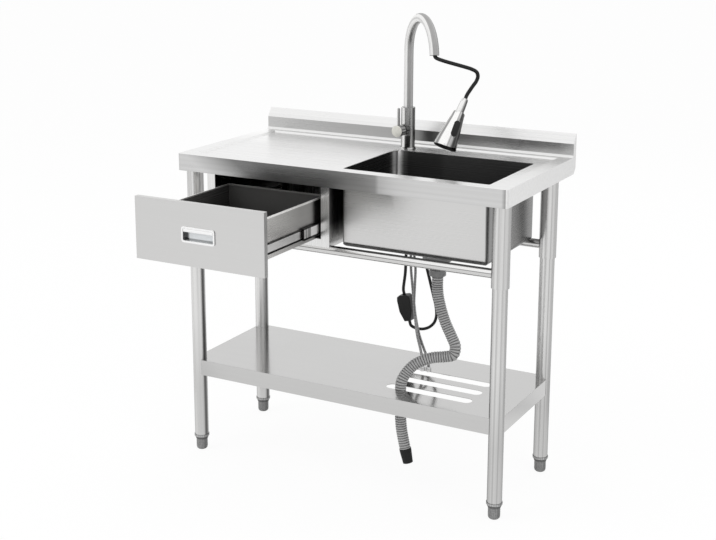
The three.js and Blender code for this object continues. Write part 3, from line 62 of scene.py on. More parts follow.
# ------------------------------------------------------------------ node helpers
class Graph:
    """A material's node tree, with the few calls that the materials here need."""

    def __init__(self, name):
        self.material = bpy.data.materials.new(name)
        self.material.use_nodes = True
        self.nodes = self.material.node_tree.nodes
        self.links = self.material.node_tree.links
        self.shader = self.nodes["Principled BSDF"]

    def put(self, socket, value):
        if isinstance(value, bpy.types.NodeSocket):
            self.links.new(value, socket)
        else:
            socket.default_value = value

    def add(self, kind, inputs=(), **settings):
        node = self.nodes.new(kind)
        for key, value in settings.items():
            setattr(node, key, value)
        for key, value in dict(inputs).items():
            self.put(node.inputs[key], value)
        return node

    def set(self, **sockets):
        for name, value in sockets.items():
            self.put(self.shader.inputs[name.replace("_", " ")], value)

    def position(self, scale=(1, 1, 1)):
        """Object coordinates, in metres in the part's frame, scaled along each axis."""
        coordinates = self.add("ShaderNodeTexCoord").outputs["Object"]
        return self.add("ShaderNodeMapping", {"Vector": coordinates, "Scale": scale}).outputs["Vector"]

    def place(self):
        """The x, y and z of the shaded point, in metres in the part's frame."""
        return self.add("ShaderNodeSeparateXYZ", {0: self.position()}).outputs

    def facing(self):
        """The direction that the surface faces."""
        return self.add("ShaderNodeNewGeometry").outputs["Normal"]

    def normal(self):
        """The x, y and z of the direction that the surface faces."""
        return self.add("ShaderNodeSeparateXYZ", {0: self.facing()}).outputs

    def noise(self, vector, detail=3.0, roughness=0.5, distortion=0.0):
        return self.add("ShaderNodeTexNoise", {
            "Vector": vector, "Scale": 1.0, "Detail": detail, "Roughness": roughness,
            "Distortion": distortion,
        }).outputs["Fac"]

    def spread(self, value, low, high, start=0.0, end=1.0):
        """Maps value from start..end to low..high."""
        return self.add("ShaderNodeMapRange", {
            "Value": value, "From Min": start, "From Max": end, "To Min": low, "To Max": high,
        }, clamp=True).outputs["Result"]

    def math(self, operation, a, b=0.0, c=0.0):
        node = self.add("ShaderNodeMath", operation=operation)
        for socket, value in zip(node.inputs, (a, b, c)):
            self.put(socket, value)
        return node.outputs[0]

    def product(self, *factors):
        """All the factors multiplied together."""
        value = factors[0]
        for factor in factors[1:]:
            value = self.math("MULTIPLY", value, factor)
        return value

    def ramp(self, value, low, high, stops):
        """A factor read from (value, factor) stops between low and high."""
        node = self.add("ShaderNodeValToRGB")
        self.put(node.inputs[0], self.spread(value, 0, 1, low, high))
        elements = node.color_ramp.elements
        while len(elements) < len(stops):
            elements.new(0.5)
        for element, (place, factor) in zip(elements, stops):
            element.position = (place - low) / (high - low)
            element.color = (factor, factor, factor, 1)
        return self.add("ShaderNodeSeparateColor", {0: node.outputs[0]}).outputs[0]

    def mix(self, factor, a, b):
        node = self.add("ShaderNodeMix", data_type="RGBA")
        self.put(node.inputs[0], factor)
        self.put(node.inputs[6], a)
        self.put(node.inputs[7], b)
        return node.outputs[2]

    def shade(self, value):
        """A grey of that brightness as a colour."""
        node = self.add("ShaderNodeCombineColor")
        for socket in node.inputs:
            self.put(socket, value)
        return node.outputs[0]

    def bump(self, height, strength, distance):
        inputs = {"Height": height, "Strength": strength, "Distance": distance}
        return self.add("ShaderNodeBump", inputs).outputs["Normal"]


def grey(value):
    return (value, value, value, 1)


def brushed(name, tone, grain=(1.5, 700, 700), roughness=(0.24, 0.34), warmth=0.004, streaks=0.04,
            fine=0.025, inside=None, tune=None, dull=None):
    """Brushed sheet or tube: fine grain, longer and softer streaks, and faint smudges.

    inside: (centre, tone at the lowest, tone at the highest, lowest z, highest z) of the faces that
    look towards the centre: painted shade. tune(g, place, normal) returns a factor for the tone at a
    place that paints light and shade, and dull(g, place) how much less metallic the gloss is there.
    """
    g = Graph(name)
    lines = g.noise(g.position(grain), detail=4, roughness=0.6)
    long = g.noise(g.position(tuple(v * 0.2 for v in grain)), detail=2)
    smudge = g.noise(g.position((3, 3, 3)), detail=3, roughness=0.5, distortion=0.4)
    value = g.math("ADD", g.spread(lines, -fine, fine, 0.3, 0.7),
                   g.spread(smudge, -0.015, 0.015, 0.3, 0.7))
    value = g.math("ADD", value, g.spread(long, -streaks, streaks, 0.3, 0.7))
    value = g.math("MULTIPLY_ADD", value, tone, tone)
    place = g.place()
    metallic = 1.0
    if tune is not None:
        value = g.product(value, tune(g, place, g.normal()))
    if inside is not None:
        # Painted shade inside the basin and the drawer: faces looking towards the centre are darker, lighter
        # towards the top.
        centre, deep, upper, lowest, highest = inside
        offset = g.add("ShaderNodeVectorMath", {0: g.position(), 1: centre}, operation="SUBTRACT")
        towards = g.add("ShaderNodeVectorMath", {0: offset.outputs[0], 1: g.facing()},
                        operation="DOT_PRODUCT")
        outside = g.spread(towards.outputs["Value"], 0, 1, -0.01, 0.01)
        shade = g.spread(place[2], deep / tone, upper / tone, lowest, highest)
        value = g.product(value, g.math("MAXIMUM", outside, shade))
        metallic = g.spread(outside, 0.4, 1.0)
    if dull is not None:
        metallic = g.math("MAXIMUM", 0.0, g.math("SUBTRACT", metallic, dull(g, place)))
    colour = g.add("ShaderNodeCombineColor", {
        0: g.math("MULTIPLY", value, 1 + warmth), 1: value, 2: g.math("MULTIPLY", value, 1 - 2 * warmth),
    }).outputs[0]
    rough = g.math("ADD", g.spread(smudge, roughness[0], roughness[1], 0.25, 0.75),
                   g.spread(lines, -0.02, 0.02, 0.3, 0.7))
    g.set(Metallic=metallic, Base_Color=colour, Roughness=rough)
    return g.material


# ------------------------------------------------------------------ painted light and shade by place
# Places are in metres in the part's frame. A pair is where a painted tone starts and ends to change.
APRON_BACK = (-0.09, -0.085)      # y, just behind the apron's front
APRON_MIDDLE = 0.876              # z
APRON_STEP = (0.13, 0.142)        # x, where the apron's painted reflection turns lighter
APRON_STEP_TONE = 0.24
SWEEP_SLANT = 1.6                 # how far the apron's painted reflection sweep leans: x per z
SPLASH_FRONT = (0.375, 0.38)      # y
REAR_SURFACE = (0.16, 0.34)       # y, the rear half of the work surface, lifted by painted light
BASIN_CORNER = (0.011, 0.27)      # x and y of the basin's inner rear left corner
# How much the painted highlight brightens the basin's inner rear left corner.
CORNER_HIGHLIGHT_GAIN = 25
DRAWER_RIM = (0.8095, 0.811)      # z, the rolled top edge of the drawer's box
SLIDE_HEIGHT = 0.733              # z of the slides' middle
RIGHTWARD = (0.6, 0.9)            # x of the normal of a side that faces right

# Tone stops (place, factor) of the painted reflections on the apron's front, at its right corner and along
# the splashback's band.
APRON_PAINTED_SWEEP = [
    (-0.44, 0.74), (-0.37, 0.55), (-0.28, 0.25), (-0.2, 0.23), (-0.12, 0.34), (0.0, 0.45), (0.1, 0.5),
]
APRON_PAINTED_CORNER = [(0.484, 1.0), (0.492, 0.62), (0.5, 0.62)]
SPLASH_PAINTED_SWEEP = [
    (-0.5, 0.64), (-0.3, 0.54), (-0.05, 0.46), (0.03, 0.26), (0.12, 0.2), (0.2, 0.34), (0.3, 0.5),
    (0.5, 0.56),
]
# Tone stops along the middle member: a painted shadow in the gap, a painted highlight on its round end, and
# the dark bands of its ball cage.
SLIDE_BALLS_AND_PAINTED_LIGHT = [
    (-0.1612, 0.02), (-0.1555, 0.02), (-0.1548, 1.1), (-0.149, 1.0), (-0.1475, 0.25), (-0.1445, 0.3),
    (-0.143, 0.8), (-0.136, 0.7), (-0.134, 0.35), (-0.122, 0.4), (-0.12, 1.1), (-0.102, 1.0),
]


def worktop_painted_reflections(g, place, normal):
    """Painted reflections: soft dark sweeps on the apron's front and splashback's band; painted light at the
    rear.
    """
    x, y, z = place[0], place[1], place[2]
    # Painted reflection on the apron's front: a slanted dark sweep, lighter right of a step, darker at its
    # right corner.
    forward = g.spread(normal[1], 1, 0, -0.97, -0.9)
    apron = g.product(forward, g.spread(y, 1, 0, *APRON_BACK))
    slanted = g.math("MULTIPLY_ADD", g.math("SUBTRACT", z, APRON_MIDDLE), SWEEP_SLANT, x)
    sweep = g.ramp(slanted, -0.56, 0.56, APRON_PAINTED_SWEEP)
    step = g.spread(x, 0, APRON_STEP_TONE, *APRON_STEP)
    corner = g.ramp(x, 0.47, 0.502, APRON_PAINTED_CORNER)
    front = g.product(g.math("ADD", sweep, step), corner)
    value = g.math("SUBTRACT", 1.0, g.product(apron, g.math("SUBTRACT", 1.0, front)))

    # Painted light on the rear half of the work surface, and a painted reflection along the splashback's
    # band.
    upwards = g.spread(normal[2], 0, 1, 0.9, 0.97)
    rear = g.product(upwards, g.spread(y, 0, 0.15, *REAR_SURFACE))
    band = g.product(forward, g.spread(y, 0, 1, *SPLASH_FRONT))
    splash = g.ramp(x, -0.5, 0.5, SPLASH_PAINTED_SWEEP)
    value = g.math("ADD", value, rear)
    return g.math("SUBTRACT", value, g.product(band, g.math("SUBTRACT", 1.0, splash)))


def from_corner(g, place):
    """Distance from the basin's inner rear left corner, seen from above."""
    x = g.math("SUBTRACT", place[0], BASIN_CORNER[0])
    y = g.math("SUBTRACT", place[1], BASIN_CORNER[1])
    return g.math("SQRT", g.math("ADD", g.math("MULTIPLY", x, x), g.math("MULTIPLY", y, y)))


def basin_painted_light(g, place, normal):
    """Painted shade under the apron, on the side and round the edges; painted highlight at the inner rear
    left corner.
    """
    under = g.math("MAXIMUM", g.spread(place[2], 1, 0.66, 0.8, 0.85), g.spread(place[0], 0, 1, 0.1, 0.16))
    side = g.ramp(normal[0], 0, 1, [(0.1, 1.0), (0.3, 0.2), (0.6, 0.16), (0.9, 0.42)])
    foot = g.ramp(normal[2], -1, 0, [(-0.9, 0.4), (-0.6, 0.16), (-0.3, 0.3), (-0.12, 1.0)])
    streak = g.ramp(from_corner(g, place), 0.009, 0.05, [
        (0.009, 1.0), (0.012, 0.6), (0.02, 0.14), (0.034, 1 / CORNER_HIGHLIGHT_GAIN),
    ])
    return g.product(under, side, foot, g.product(streak, CORNER_HIGHLIGHT_GAIN))


def corner_dullness(g, place):
    """The corner with the painted highlight is duller than the dark walls beside it."""
    return g.spread(from_corner(g, place), 0.6, 0, 0.01, 0.016)


def panel_painted_light(g, place, normal):
    """Painted shade on the panel's folded side edge, a little darker than its face, with a faint painted
    highlight on the bend.
    """
    return g.ramp(normal[0], 0, 1, [(0.3, 1.0), (0.6, 1.1), (0.9, 0.62)])


def drawer_painted_light(g, place, normal):
    """Painted shade on the side towards the cabinet, and a painted highlight on the rolled top edge."""
    side = g.spread(normal[0], 0, 1, *RIGHTWARD)
    fall = g.product(side, g.spread(place[1], 0, 0.62, -0.33, -0.1))
    rim = g.spread(place[2], 0, 0.7, *DRAWER_RIM)
    return g.math("ADD", g.math("SUBTRACT", 1.0, fall), rim)


def rim_dullness(g, place):
    """The drawer's rolled top edge is less metallic, so that its painted highlight stays light."""
    return g.spread(place[2], 0, 0.4, *DRAWER_RIM)


def cabinet_tone(g, place, normal):
    """The side wall stands in the shade of the basin, less so at its foot."""
    side = g.spread(normal[0], 0, 1, *RIGHTWARD)
    shade = g.spread(place[2], 0.2, 0.9, 0.685, 0.75)
    return g.math("SUBTRACT", 1.0, g.product(side, shade))


def slide_painted_light_and_balls(g, place, normal):
    """Painted gap shadows along the members, and on the middle one a painted shadow, a painted highlight on
    its round end, and its balls.
    """
    x, y = place[0], place[1]
    height = g.math("ABSOLUTE", g.math("SUBTRACT", place[2], SLIDE_HEIGHT))
    right = g.spread(x, 0, 1, -0.0485, -0.048)
    left = g.spread(x, 1, 0, -0.3775, -0.377)
    outer = g.math("MAXIMUM", right, left)
    edge = g.spread(height, 1, 0.04, 0.0098, 0.0108)
    front = g.spread(y, 0.04, 1, -0.3825, -0.3815)
    middle = g.product(g.ramp(y, -0.162, -0.1, SLIDE_BALLS_AND_PAINTED_LIGHT), g.spread(height, 1, 0.04, 0.0115, 0.0125))
    return g.math("ADD", g.product(edge, front, g.math("SUBTRACT", 1.0, outer)), g.product(middle, outer))


def painted_reflection_streaks(direction, stops, low=None, foot=1.0):
    """A tone by how far the surface faces along a direction: painted reflections as long streaks down a
    tube.

    low: (z, where the range starts, where it ends, factor) paints shade on that range of the direction
    below a height. foot is the factor of a painted shade near the floor.
    """
    def tune(g, place, normal):
        towards = g.math("MULTIPLY", normal[0], direction[0])
        towards = g.math("MULTIPLY_ADD", normal[1], direction[1], towards)
        towards = g.math("MULTIPLY_ADD", normal[2], direction[2], towards)
        value = g.ramp(towards, -1, 1, stops)
        if low is not None:
            height, start, end, factor = low
            within = g.product(g.spread(towards, 0, 1, start - 0.05, start),
                               g.spread(towards, 1, 0, end, end + 0.05),
                               g.spread(place[2], 1, 0, height - 0.001, height + 0.001))
            value = g.product(value, g.math("SUBTRACT", 1.0, g.product(within, 1 - factor)))
        if foot < 1:
            value = g.product(value, g.spread(place[2], foot, 1, 0.2, 0.42))
        return value
    return tune


# ------------------------------------------------------------------ other finishes
def polished(name, tone, roughness):
    """Chrome plate: clear reflections, water spots and faint fingermarks in the gloss."""
    g = Graph(name)
    marks = g.noise(g.position((18, 18, 18)), detail=4, roughness=0.6, distortion=0.8)
    spots = g.add("ShaderNodeTexVoronoi", {"Vector": g.position((160, 160, 160))}).outputs["Distance"]
    rough = g.math("ADD", g.spread(marks, roughness[0], roughness[1], 0.3, 0.7),
                   g.spread(spots, 0.03, 0.0, 0.0, 0.25))
    colour = g.mix(g.spread(marks, 0, 1, 0.3, 0.7), grey(tone * 0.97), grey(tone))
    g.set(Metallic=1.0, Base_Color=colour, Roughness=rough, Normal=g.bump(marks, 0.02, 0.001))
    return g.material


CUP_HALF_WIDTH = 0.0462           # the cup of the drawer pull, in metres
CUP_HALF_HEIGHT = 0.0158


def pull_plate(name, middle):
    """Bright plate: a pale frame and hood; painted shade on the end and floor of the cup below the hood."""
    g = Graph(name)
    place = g.place()
    x = g.math("SUBTRACT", place[0], middle.x)
    z = g.math("SUBTRACT", place[2], middle.z)
    inner = g.product(g.spread(g.math("ABSOLUTE", x), 1, 0, CUP_HALF_WIDTH, CUP_HALF_WIDTH + 0.0004),
                      g.spread(g.math("ABSOLUTE", z), 1, 0, CUP_HALF_HEIGHT, CUP_HALF_HEIGHT + 0.0004),
                      g.spread(place[1], 0, 1, middle.y + 0.0005, middle.y + 0.0015))
    # Painted shade: the cup a little darker, its end and floor much darker, and the faces that look right
    # darker.
    end = g.product(inner, g.spread(x, 1, 0, -0.04, -0.034))
    floor = g.product(inner, g.spread(z, 1, 0, -0.0135, -0.0105))
    tone = g.math("SUBTRACT", 0.97, g.product(inner, 0.1))
    tone = g.math("SUBTRACT", tone, g.product(end, 0.7))
    tone = g.math("MAXIMUM", 0.08, g.math("SUBTRACT", tone, g.product(floor, 0.45)))
    tone = g.product(tone, g.spread(g.normal()[0], 1, 0.2, 0.5, 0.9))
    marks = g.noise(g.position((40, 40, 40)), detail=4)
    tint = g.mix(inner, (1, 1, 1, 1), (0.95, 0.98, 1, 1))
    colour = g.add("ShaderNodeVectorMath", {0: g.shade(tone), 1: tint}, operation="MULTIPLY").outputs[0]
    g.set(Metallic=0.3, Base_Color=colour, Roughness=g.spread(marks, 0.14, 0.24, 0.3, 0.7))
    return g.material


def moulded(name, tone, roughness, grain=900, tint=(1, 1, 1), specular=0.5):
    """Moulded plastic or rubber: a fine texture, slightly uneven gloss, dust in a few places."""
    g = Graph(name)
    texture = g.noise(g.position((grain,) * 3), detail=3)
    dust = g.noise(g.position((35, 35, 35)), detail=5, roughness=0.7)
    dark = tuple(tone * t * 0.88 for t in tint) + (1,)
    light = tuple(min(1, tone * t * 1.15 + 0.004) for t in tint) + (1,)
    g.set(Base_Color=g.mix(g.spread(dust, 0, 1, 0.3, 0.75), dark, light),
          Roughness=g.spread(dust, roughness[0], roughness[1], 0.3, 0.7),
          Specular_IOR_Level=specular, Normal=g.bump(texture, 0.1, 0.0003))
    return g.material


FOOT_RIBS = 22


def ribbed_foot(name, tone):
    """Grey nylon with upright ribs round the foot, painted shade in their grooves and a painted shadow line
    under its collar.
    """
    g = Graph(name)
    normal = g.normal()
    turn = g.math("ARCTAN2", normal[1], normal[0])
    rib = g.math("MULTIPLY_ADD", g.math("SINE", g.product(turn, float(FOOT_RIBS))), 0.5, 0.5)
    ribs = g.product(rib, g.spread(g.math("ABSOLUTE", normal[2]), 1, 0, 0.3, 0.6))
    specks = g.noise(g.position((420, 420, 420)), detail=3)
    value = g.math("ADD", tone, g.product(g.math("SUBTRACT", ribs, 0.5), tone * 0.5))
    value = g.math("ADD", value, g.spread(specks, -0.06, 0.06, 0.3, 0.7))
    # A painted shadow line under the collar, a lighter band on the collar, darker above it.
    collar = g.ramp(g.place()[2], 0, 0.05, [
        (0.0, 1.0), (0.03, 1.0), (0.0345, 0.5), (0.0375, 0.35), (0.039, 0.5), (0.0405, 1.7), (0.0465, 1.7),
        (0.0475, 0.6),
    ])
    # Painted light and shade round the foot by the way each side faces.
    across = g.math("MULTIPLY_ADD", normal[0], 0.875, g.product(normal[1], 0.485))
    shade = g.ramp(across, -1, 1, [(-1.0, 0.8), (-0.4, 1.1), (0.3, 1.0), (0.65, 0.6), (1.0, 0.7)])
    g.set(Base_Color=g.shade(g.product(value, collar, shade)), Roughness=0.45, Specular_IOR_Level=0.4,
          Normal=g.bump(ribs, 0.35, 0.0006))
    return g.material


def braided(name, tone):
    """Wire braid: two sets of crossing strands, drawn along the hose's own length."""
    g = Graph(name)
    uv = g.add("ShaderNodeUVMap", uv_map="along").outputs["UV"]
    parts = g.add("ShaderNodeSeparateXYZ", {0: uv})
    around, along = parts.outputs[0], parts.outputs[1]
    strands = []
    for sign in (1, -1):
        turn = g.math("MULTIPLY_ADD", along, sign * 60.0, g.math("MULTIPLY", around, 8.0))
        strands.append(g.math("ABSOLUTE", g.math("SUBTRACT", g.math("FRACT", turn), 0.5)))
    height = g.math("MAXIMUM", *strands)
    # Painted shade in the low parts between the strands.
    colour = g.mix(g.spread(height, 0, 1, 0.2, 0.48), grey(tone * 0.35), grey(tone * 1.1))
    g.set(Metallic=g.spread(height, 0.6, 1.0, 0.2, 0.45), Base_Color=colour,
          Roughness=g.spread(height, 0.5, 0.28, 0.2, 0.5), Normal=g.bump(height, 0.7, 0.0006))
    return g.material


def corrugated_plastic(name, tone, pitch):
    """Grey hose plastic, with painted shade in the grooves between the ribs."""
    g = Graph(name)
    uv = g.add("ShaderNodeUVMap", uv_map="along").outputs["UV"]
    along = g.add("ShaderNodeSeparateXYZ", {0: uv}).outputs[1]
    wave = g.math("COSINE", g.product(along, 2 * math.pi / pitch))
    dust = g.noise(g.position((35, 35, 35)), detail=5, roughness=0.7)
    value = g.product(g.spread(wave, tone * 0.3, tone, -0.85, 0.1), g.spread(dust, 0.9, 1.1, 0.3, 0.7))
    g.set(Base_Color=g.shade(value), Roughness=g.spread(dust, 0.4, 0.55, 0.3, 0.7), Specular_IOR_Level=0.4)
    return g.material


# ------------------------------------------------------------------ mesh helpers
def new_object(name, mesh, material, smooth=True):
    for polygon in mesh.polygons:
        polygon.use_smooth = smooth
    obj = bpy.data.objects.new(name, mesh)
    bpy.context.scene.collection.objects.link(obj)
    mesh.materials.append(material)
    return obj


def catmull(points, count):
    """Points along a centripetal Catmull-Rom curve, evenly spaced by length."""
    substeps = 24
    points = [Vector(p) for p in points]
    padded = [points[0] * 2 - points[1]] + points + [points[-1] * 2 - points[-2]]
    dense = []
    for i in range(len(points) - 1):
        a, b, c, d = padded[i:i + 4]
        ta = 0.0
        tb = ta + max(1e-6, (b - a).length) ** 0.5
        tc = tb + max(1e-6, (c - b).length) ** 0.5
        td = tc + max(1e-6, (d - c).length) ** 0.5
        for k in range(substeps):
            t = tb + (tc - tb) * k / substeps
            ab = a * ((tb - t) / (tb - ta)) + b * ((t - ta) / (tb - ta))
            bc = b * ((tc - t) / (tc - tb)) + c * ((t - tb) / (tc - tb))
            cd = c * ((td - t) / (td - tc)) + d * ((t - tc) / (td - tc))
            abc = ab * ((tc - t) / (tc - ta)) + bc * ((t - ta) / (tc - ta))
            bcd = bc * ((td - t) / (td - tb)) + cd * ((t - tb) / (td - tb))
            dense.append(abc * ((tc - t) / (tc - tb)) + bcd * ((t - tb) / (tc - tb)))
    dense.append(points[-1])
    return evenly(dense, count)


def evenly(dense, count):
    """A polyline's points again, count + 1 of them, evenly spaced by length."""
    run = [0.0]
    for p, q in zip(dense, dense[1:]):
        run.append(run[-1] + (q - p).length)
    out = []
    j = 0
    for i in range(count + 1):
        want = run[-1] * i / count
        while j < len(dense) - 2 and run[j + 1] < want:
            j += 1
        span = max(1e-9, run[j + 1] - run[j])
        out.append(dense[j].lerp(dense[j + 1], min(1.0, (want - run[j]) / span)))
    return out


def length_of(points):
    return sum((q - p).length for p, q in zip(points, points[1:]))


def tube(name, path, radii, material, sides):
    """A closed tube along a path, of one radius at each point; UV map "along" runs round and along it."""
    rings = []
    last = len(path) - 1
    tangents = [(path[min(i + 1, last)] - path[max(i - 1, 0)]).normalized() for i in range(last + 1)]
    normal = tangents[0].orthogonal().normalized()
    run = 0.0
    runs = []
    for i, (point, tangent) in enumerate(zip(path, tangents)):
        if i:
            run += (path[i] - path[i - 1]).length
            turn = tangents[i - 1].rotation_difference(tangent)
            normal = turn @ normal
        normal = (normal - tangent * normal.dot(tangent)).normalized()
        side = tangent.cross(normal)
        rings.append([point + (normal * math.cos(a) + side * math.sin(a)) * radii[i]
                      for a in (2 * math.pi * k / sides for k in range(sides))])
        runs.append(run)
    verts = [v for ring in rings for v in ring]
    faces = []
    uvs = []
    for i in range(len(rings) - 1):
        for k in range(sides):
            n = (k + 1) % sides
            faces.append((i * sides + k, i * sides + n, (i + 1) * sides + n, (i + 1) * sides + k))
            uvs += [(k / sides, runs[i]), ((k + 1) / sides, runs[i]),
                    ((k + 1) / sides, runs[i + 1]), (k / sides, runs[i + 1])]
    faces.append(tuple(reversed(range(sides))))
    faces.append(tuple(last * sides + k for k in range(sides)))
    uvs += [(0, 0)] * sides * 2
    mesh = bpy.data.meshes.new(name)
    mesh.from_pydata(verts, [], faces)
    layer = mesh.uv_layers.new(name="along")
    for loop, uv in zip(layer.data, uvs):
        loop.uv = uv
    return new_object(name, mesh, material)


def dress(node, material, bevel=0.0, segments=2, angle=35):
    """Gives a CAD node its material, edges rounded by bevel (millimetres) and even shading.

    angle: folds sharper than this many degrees are edges.
    """
    obj = nodes[node]
    mesh = obj.data
    mesh.materials.clear()
    mesh.materials.append(material)
    if "custom_normal" in mesh.attributes:
        mesh.attributes.remove(mesh.attributes["custom_normal"])
    for polygon in mesh.polygons:
        polygon.use_smooth = True
        polygon.material_index = 0
    weld = obj.modifiers.new("weld", "WELD")
    weld.merge_threshold = 1e-5
    if bevel > 0:
        edges = obj.modifiers.new("edges", "BEVEL")
        edges.width = bevel / 1000
        edges.segments = segments
        edges.limit_method = "ANGLE"
        edges.angle_limit = math.radians(angle)
        edges.use_clamp_overlap = True
        edges.harden_normals = False
        shading = obj.modifiers.new("shading", "WEIGHTED_NORMAL")
        shading.keep_sharp = False
        shading.weight = 90
    else:
        split = obj.modifiers.new("split", "EDGE_SPLIT")
        split.split_angle = math.radians(angle)


# ------------------------------------------------------------------ materials
BASIN_MIDDLE = tuple(at(214.5, -35, 880))
DRAWER_MIDDLE = tuple(at(-212.75, -365, 790))
PULL_MIDDLE = at(-212.75, -560, 764)
# Directions in which the painted reflection streaks change: over the legs and the tap, the gooseneck and the
# spray head.
ACROSS = (0.874, 0.486, 0.0)
ACROSS_NECK = (0.695, 0.719, 0.0)
ACROSS_HEAD = (0.866, 0.331, -0.374)
# (how far the surface faces that way, tone) of the painted reflections across each kind of tube.
LEG_REFLECTIONS = [(-1, 0.55), (-0.86, 0.7), (-0.7, 0.84), (-0.3, 0.76), (0.3, 0.74), (0.5, 0.62), (0.64, 0.2),
               (0.84, 0.13), (0.93, 0.4), (1, 0.55)]
SOCKET_REFLECTIONS = [(-1, 0.25), (-0.9, 0.6), (-0.6, 0.76), (-0.42, 0.56), (-0.3, 0.76), (0.08, 0.7),
                  (0.18, 0.5), (0.28, 0.72), (0.7, 0.64), (0.9, 0.4), (1, 0.55)]
RAIL_REFLECTIONS = [(-1, 0.25), (-0.85, 0.45), (-0.6, 0.64), (0, 0.64), (0.12, 0.3), (0.22, 0.32), (0.3, 0.86),
                (0.72, 0.86), (0.88, 0.1), (1, 0.05)]
NECK_REFLECTIONS = [(-1, 0.66), (-0.95, 0.92), (-0.66, 0.92), (-0.56, 0.44), (-0.2, 0.4), (-0.1, 0.44),
                (0.2, 0.42), (0.3, 0.52), (0.6, 0.5), (0.72, 0.24), (1, 0.26)]
BODY_REFLECTIONS = [(-1, 0.2), (-0.9, 0.4), (-0.82, 0.94), (-0.62, 0.95), (-0.54, 0.38), (0, 0.34), (0.26, 0.44),
                (0.44, 0.42), (0.56, 0.22), (0.68, 0.1), (0.94, 0.09), (1, 0.3)]
RING_REFLECTIONS = [(-1, 0.7), (-0.6, 0.8), (-0.42, 0.12), (-0.16, 0.15), (0, 0.6), (0.4, 0.55), (0.6, 0.05),
                (1, 0.1)]
HUB_REFLECTIONS = [(-1, 0.12), (-0.55, 0.25), (-0.35, 0.06), (-0.12, 0.07), (-0.04, 0.55), (0.12, 0.5),
               (0.2, 0.07), (0.36, 0.1), (0.5, 0.28), (0.8, 0.36), (1, 0.5)]
HEAD_REFLECTIONS = [(-1, 0.5), (-0.9, 0.55), (-0.8, 0.25), (-0.7, 0.35), (-0.6, 0.95), (0, 0.95), (0.14, 0.35),
                (0.26, 0.6), (0.38, 0.5), (0.48, 0.12), (0.6, 0.06), (0.72, 0.13), (0.86, 0.05), (1, 0.12)]
FERRULE_REFLECTIONS = [(-1, 0.6), (-0.7, 0.9), (0, 0.85), (0.2, 0.6), (0.45, 0.3), (0.7, 0.12), (1, 0.1)]

sheet = brushed("brushed_sheet", 0.86, warmth=0.002, tune=worktop_painted_reflections)
basin_steel = brushed("basin_steel", 0.66, grain=(1.6, 1.6, 700), roughness=(0.26, 0.3), streaks=0.004,
                      fine=0.003, inside=(BASIN_MIDDLE, 0.04, 0.07, 0.7, 0.89), tune=basin_painted_light,
                      dull=corner_dullness)
shelf_steel = brushed("shelf_steel", 0.56, roughness=(0.1, 0.16), streaks=0.01, fine=0.012)
front_steel = brushed("front_steel", 0.66, roughness=(0.3, 0.38), streaks=0.006, fine=0.006, tune=panel_painted_light)
drawer_steel = brushed("drawer_steel", 0.7, grain=(700, 1.5, 700), roughness=(0.24, 0.32), streaks=0.02,
                       fine=0.015, inside=(DRAWER_MIDDLE, 0.06, 0.2, 0.705, 0.812), tune=drawer_painted_light,
                       dull=rim_dullness, warmth=0.012)
cabinet_steel = brushed("cabinet_steel", 0.78, grain=(700, 700, 1.5), roughness=(0.22, 0.3),
                        tune=cabinet_tone)
tube_steel = brushed("tube_steel", 1.0, grain=(700, 700, 1.2), roughness=(0.26, 0.34), streaks=0.03,
                     tune=painted_reflection_streaks(ACROSS, LEG_REFLECTIONS, foot=0.78))
socket_steel = brushed("socket_steel", 1.0, grain=(700, 700, 1.2), roughness=(0.26, 0.34), streaks=0.03,
                       tune=painted_reflection_streaks(ACROSS, SOCKET_REFLECTIONS, foot=0.78))
rail_steel = brushed("rail_steel", 1.0, roughness=(0.16, 0.22), streaks=0.03,
                     tune=painted_reflection_streaks((0, 0, 1), RAIL_REFLECTIONS))
spout_steel = brushed("spout_steel", 1.0, grain=(500, 500, 4), roughness=(0.4, 0.46), streaks=0.03,
                      tune=painted_reflection_streaks(ACROSS_NECK, NECK_REFLECTIONS))
tap_steel = brushed("tap_steel", 1.0, grain=(500, 500, 4), roughness=(0.22, 0.28), streaks=0.04,
                    tune=painted_reflection_streaks(ACROSS, BODY_REFLECTIONS, (0.935, -0.5, 0.2, 0.3)))
ring_steel = brushed("ring_steel", 1.0, grain=(500, 500, 4), roughness=(0.2, 0.26),
                     tune=painted_reflection_streaks(ACROSS, RING_REFLECTIONS))
hub_steel = brushed("hub_steel", 1.0, grain=(500, 4, 500), roughness=(0.2, 0.26),
                    tune=painted_reflection_streaks((0, 0, 1), HUB_REFLECTIONS))
ferrule_steel = brushed("ferrule_steel", 1.0, grain=(200, 200, 200), roughness=(0.18, 0.24),
                        tune=painted_reflection_streaks(ACROSS_HEAD, FERRULE_REFLECTIONS))
chrome = brushed("chrome", 1.0, grain=(60, 60, 60), roughness=(0.12, 0.18), streaks=0.03,
                 tune=painted_reflection_streaks(ACROSS_HEAD, HEAD_REFLECTIONS))
slide_zinc = brushed("slide_zinc", 0.74, grain=(500, 3, 500), roughness=(0.26, 0.32), tune=slide_painted_light_and_balls)
plated = polished("plated", 0.62, (0.16, 0.28))
basket_chrome = polished("basket_chrome", 0.82, (0.05, 0.1))
pull_chrome = pull_plate("pull_chrome", PULL_MIDDLE)
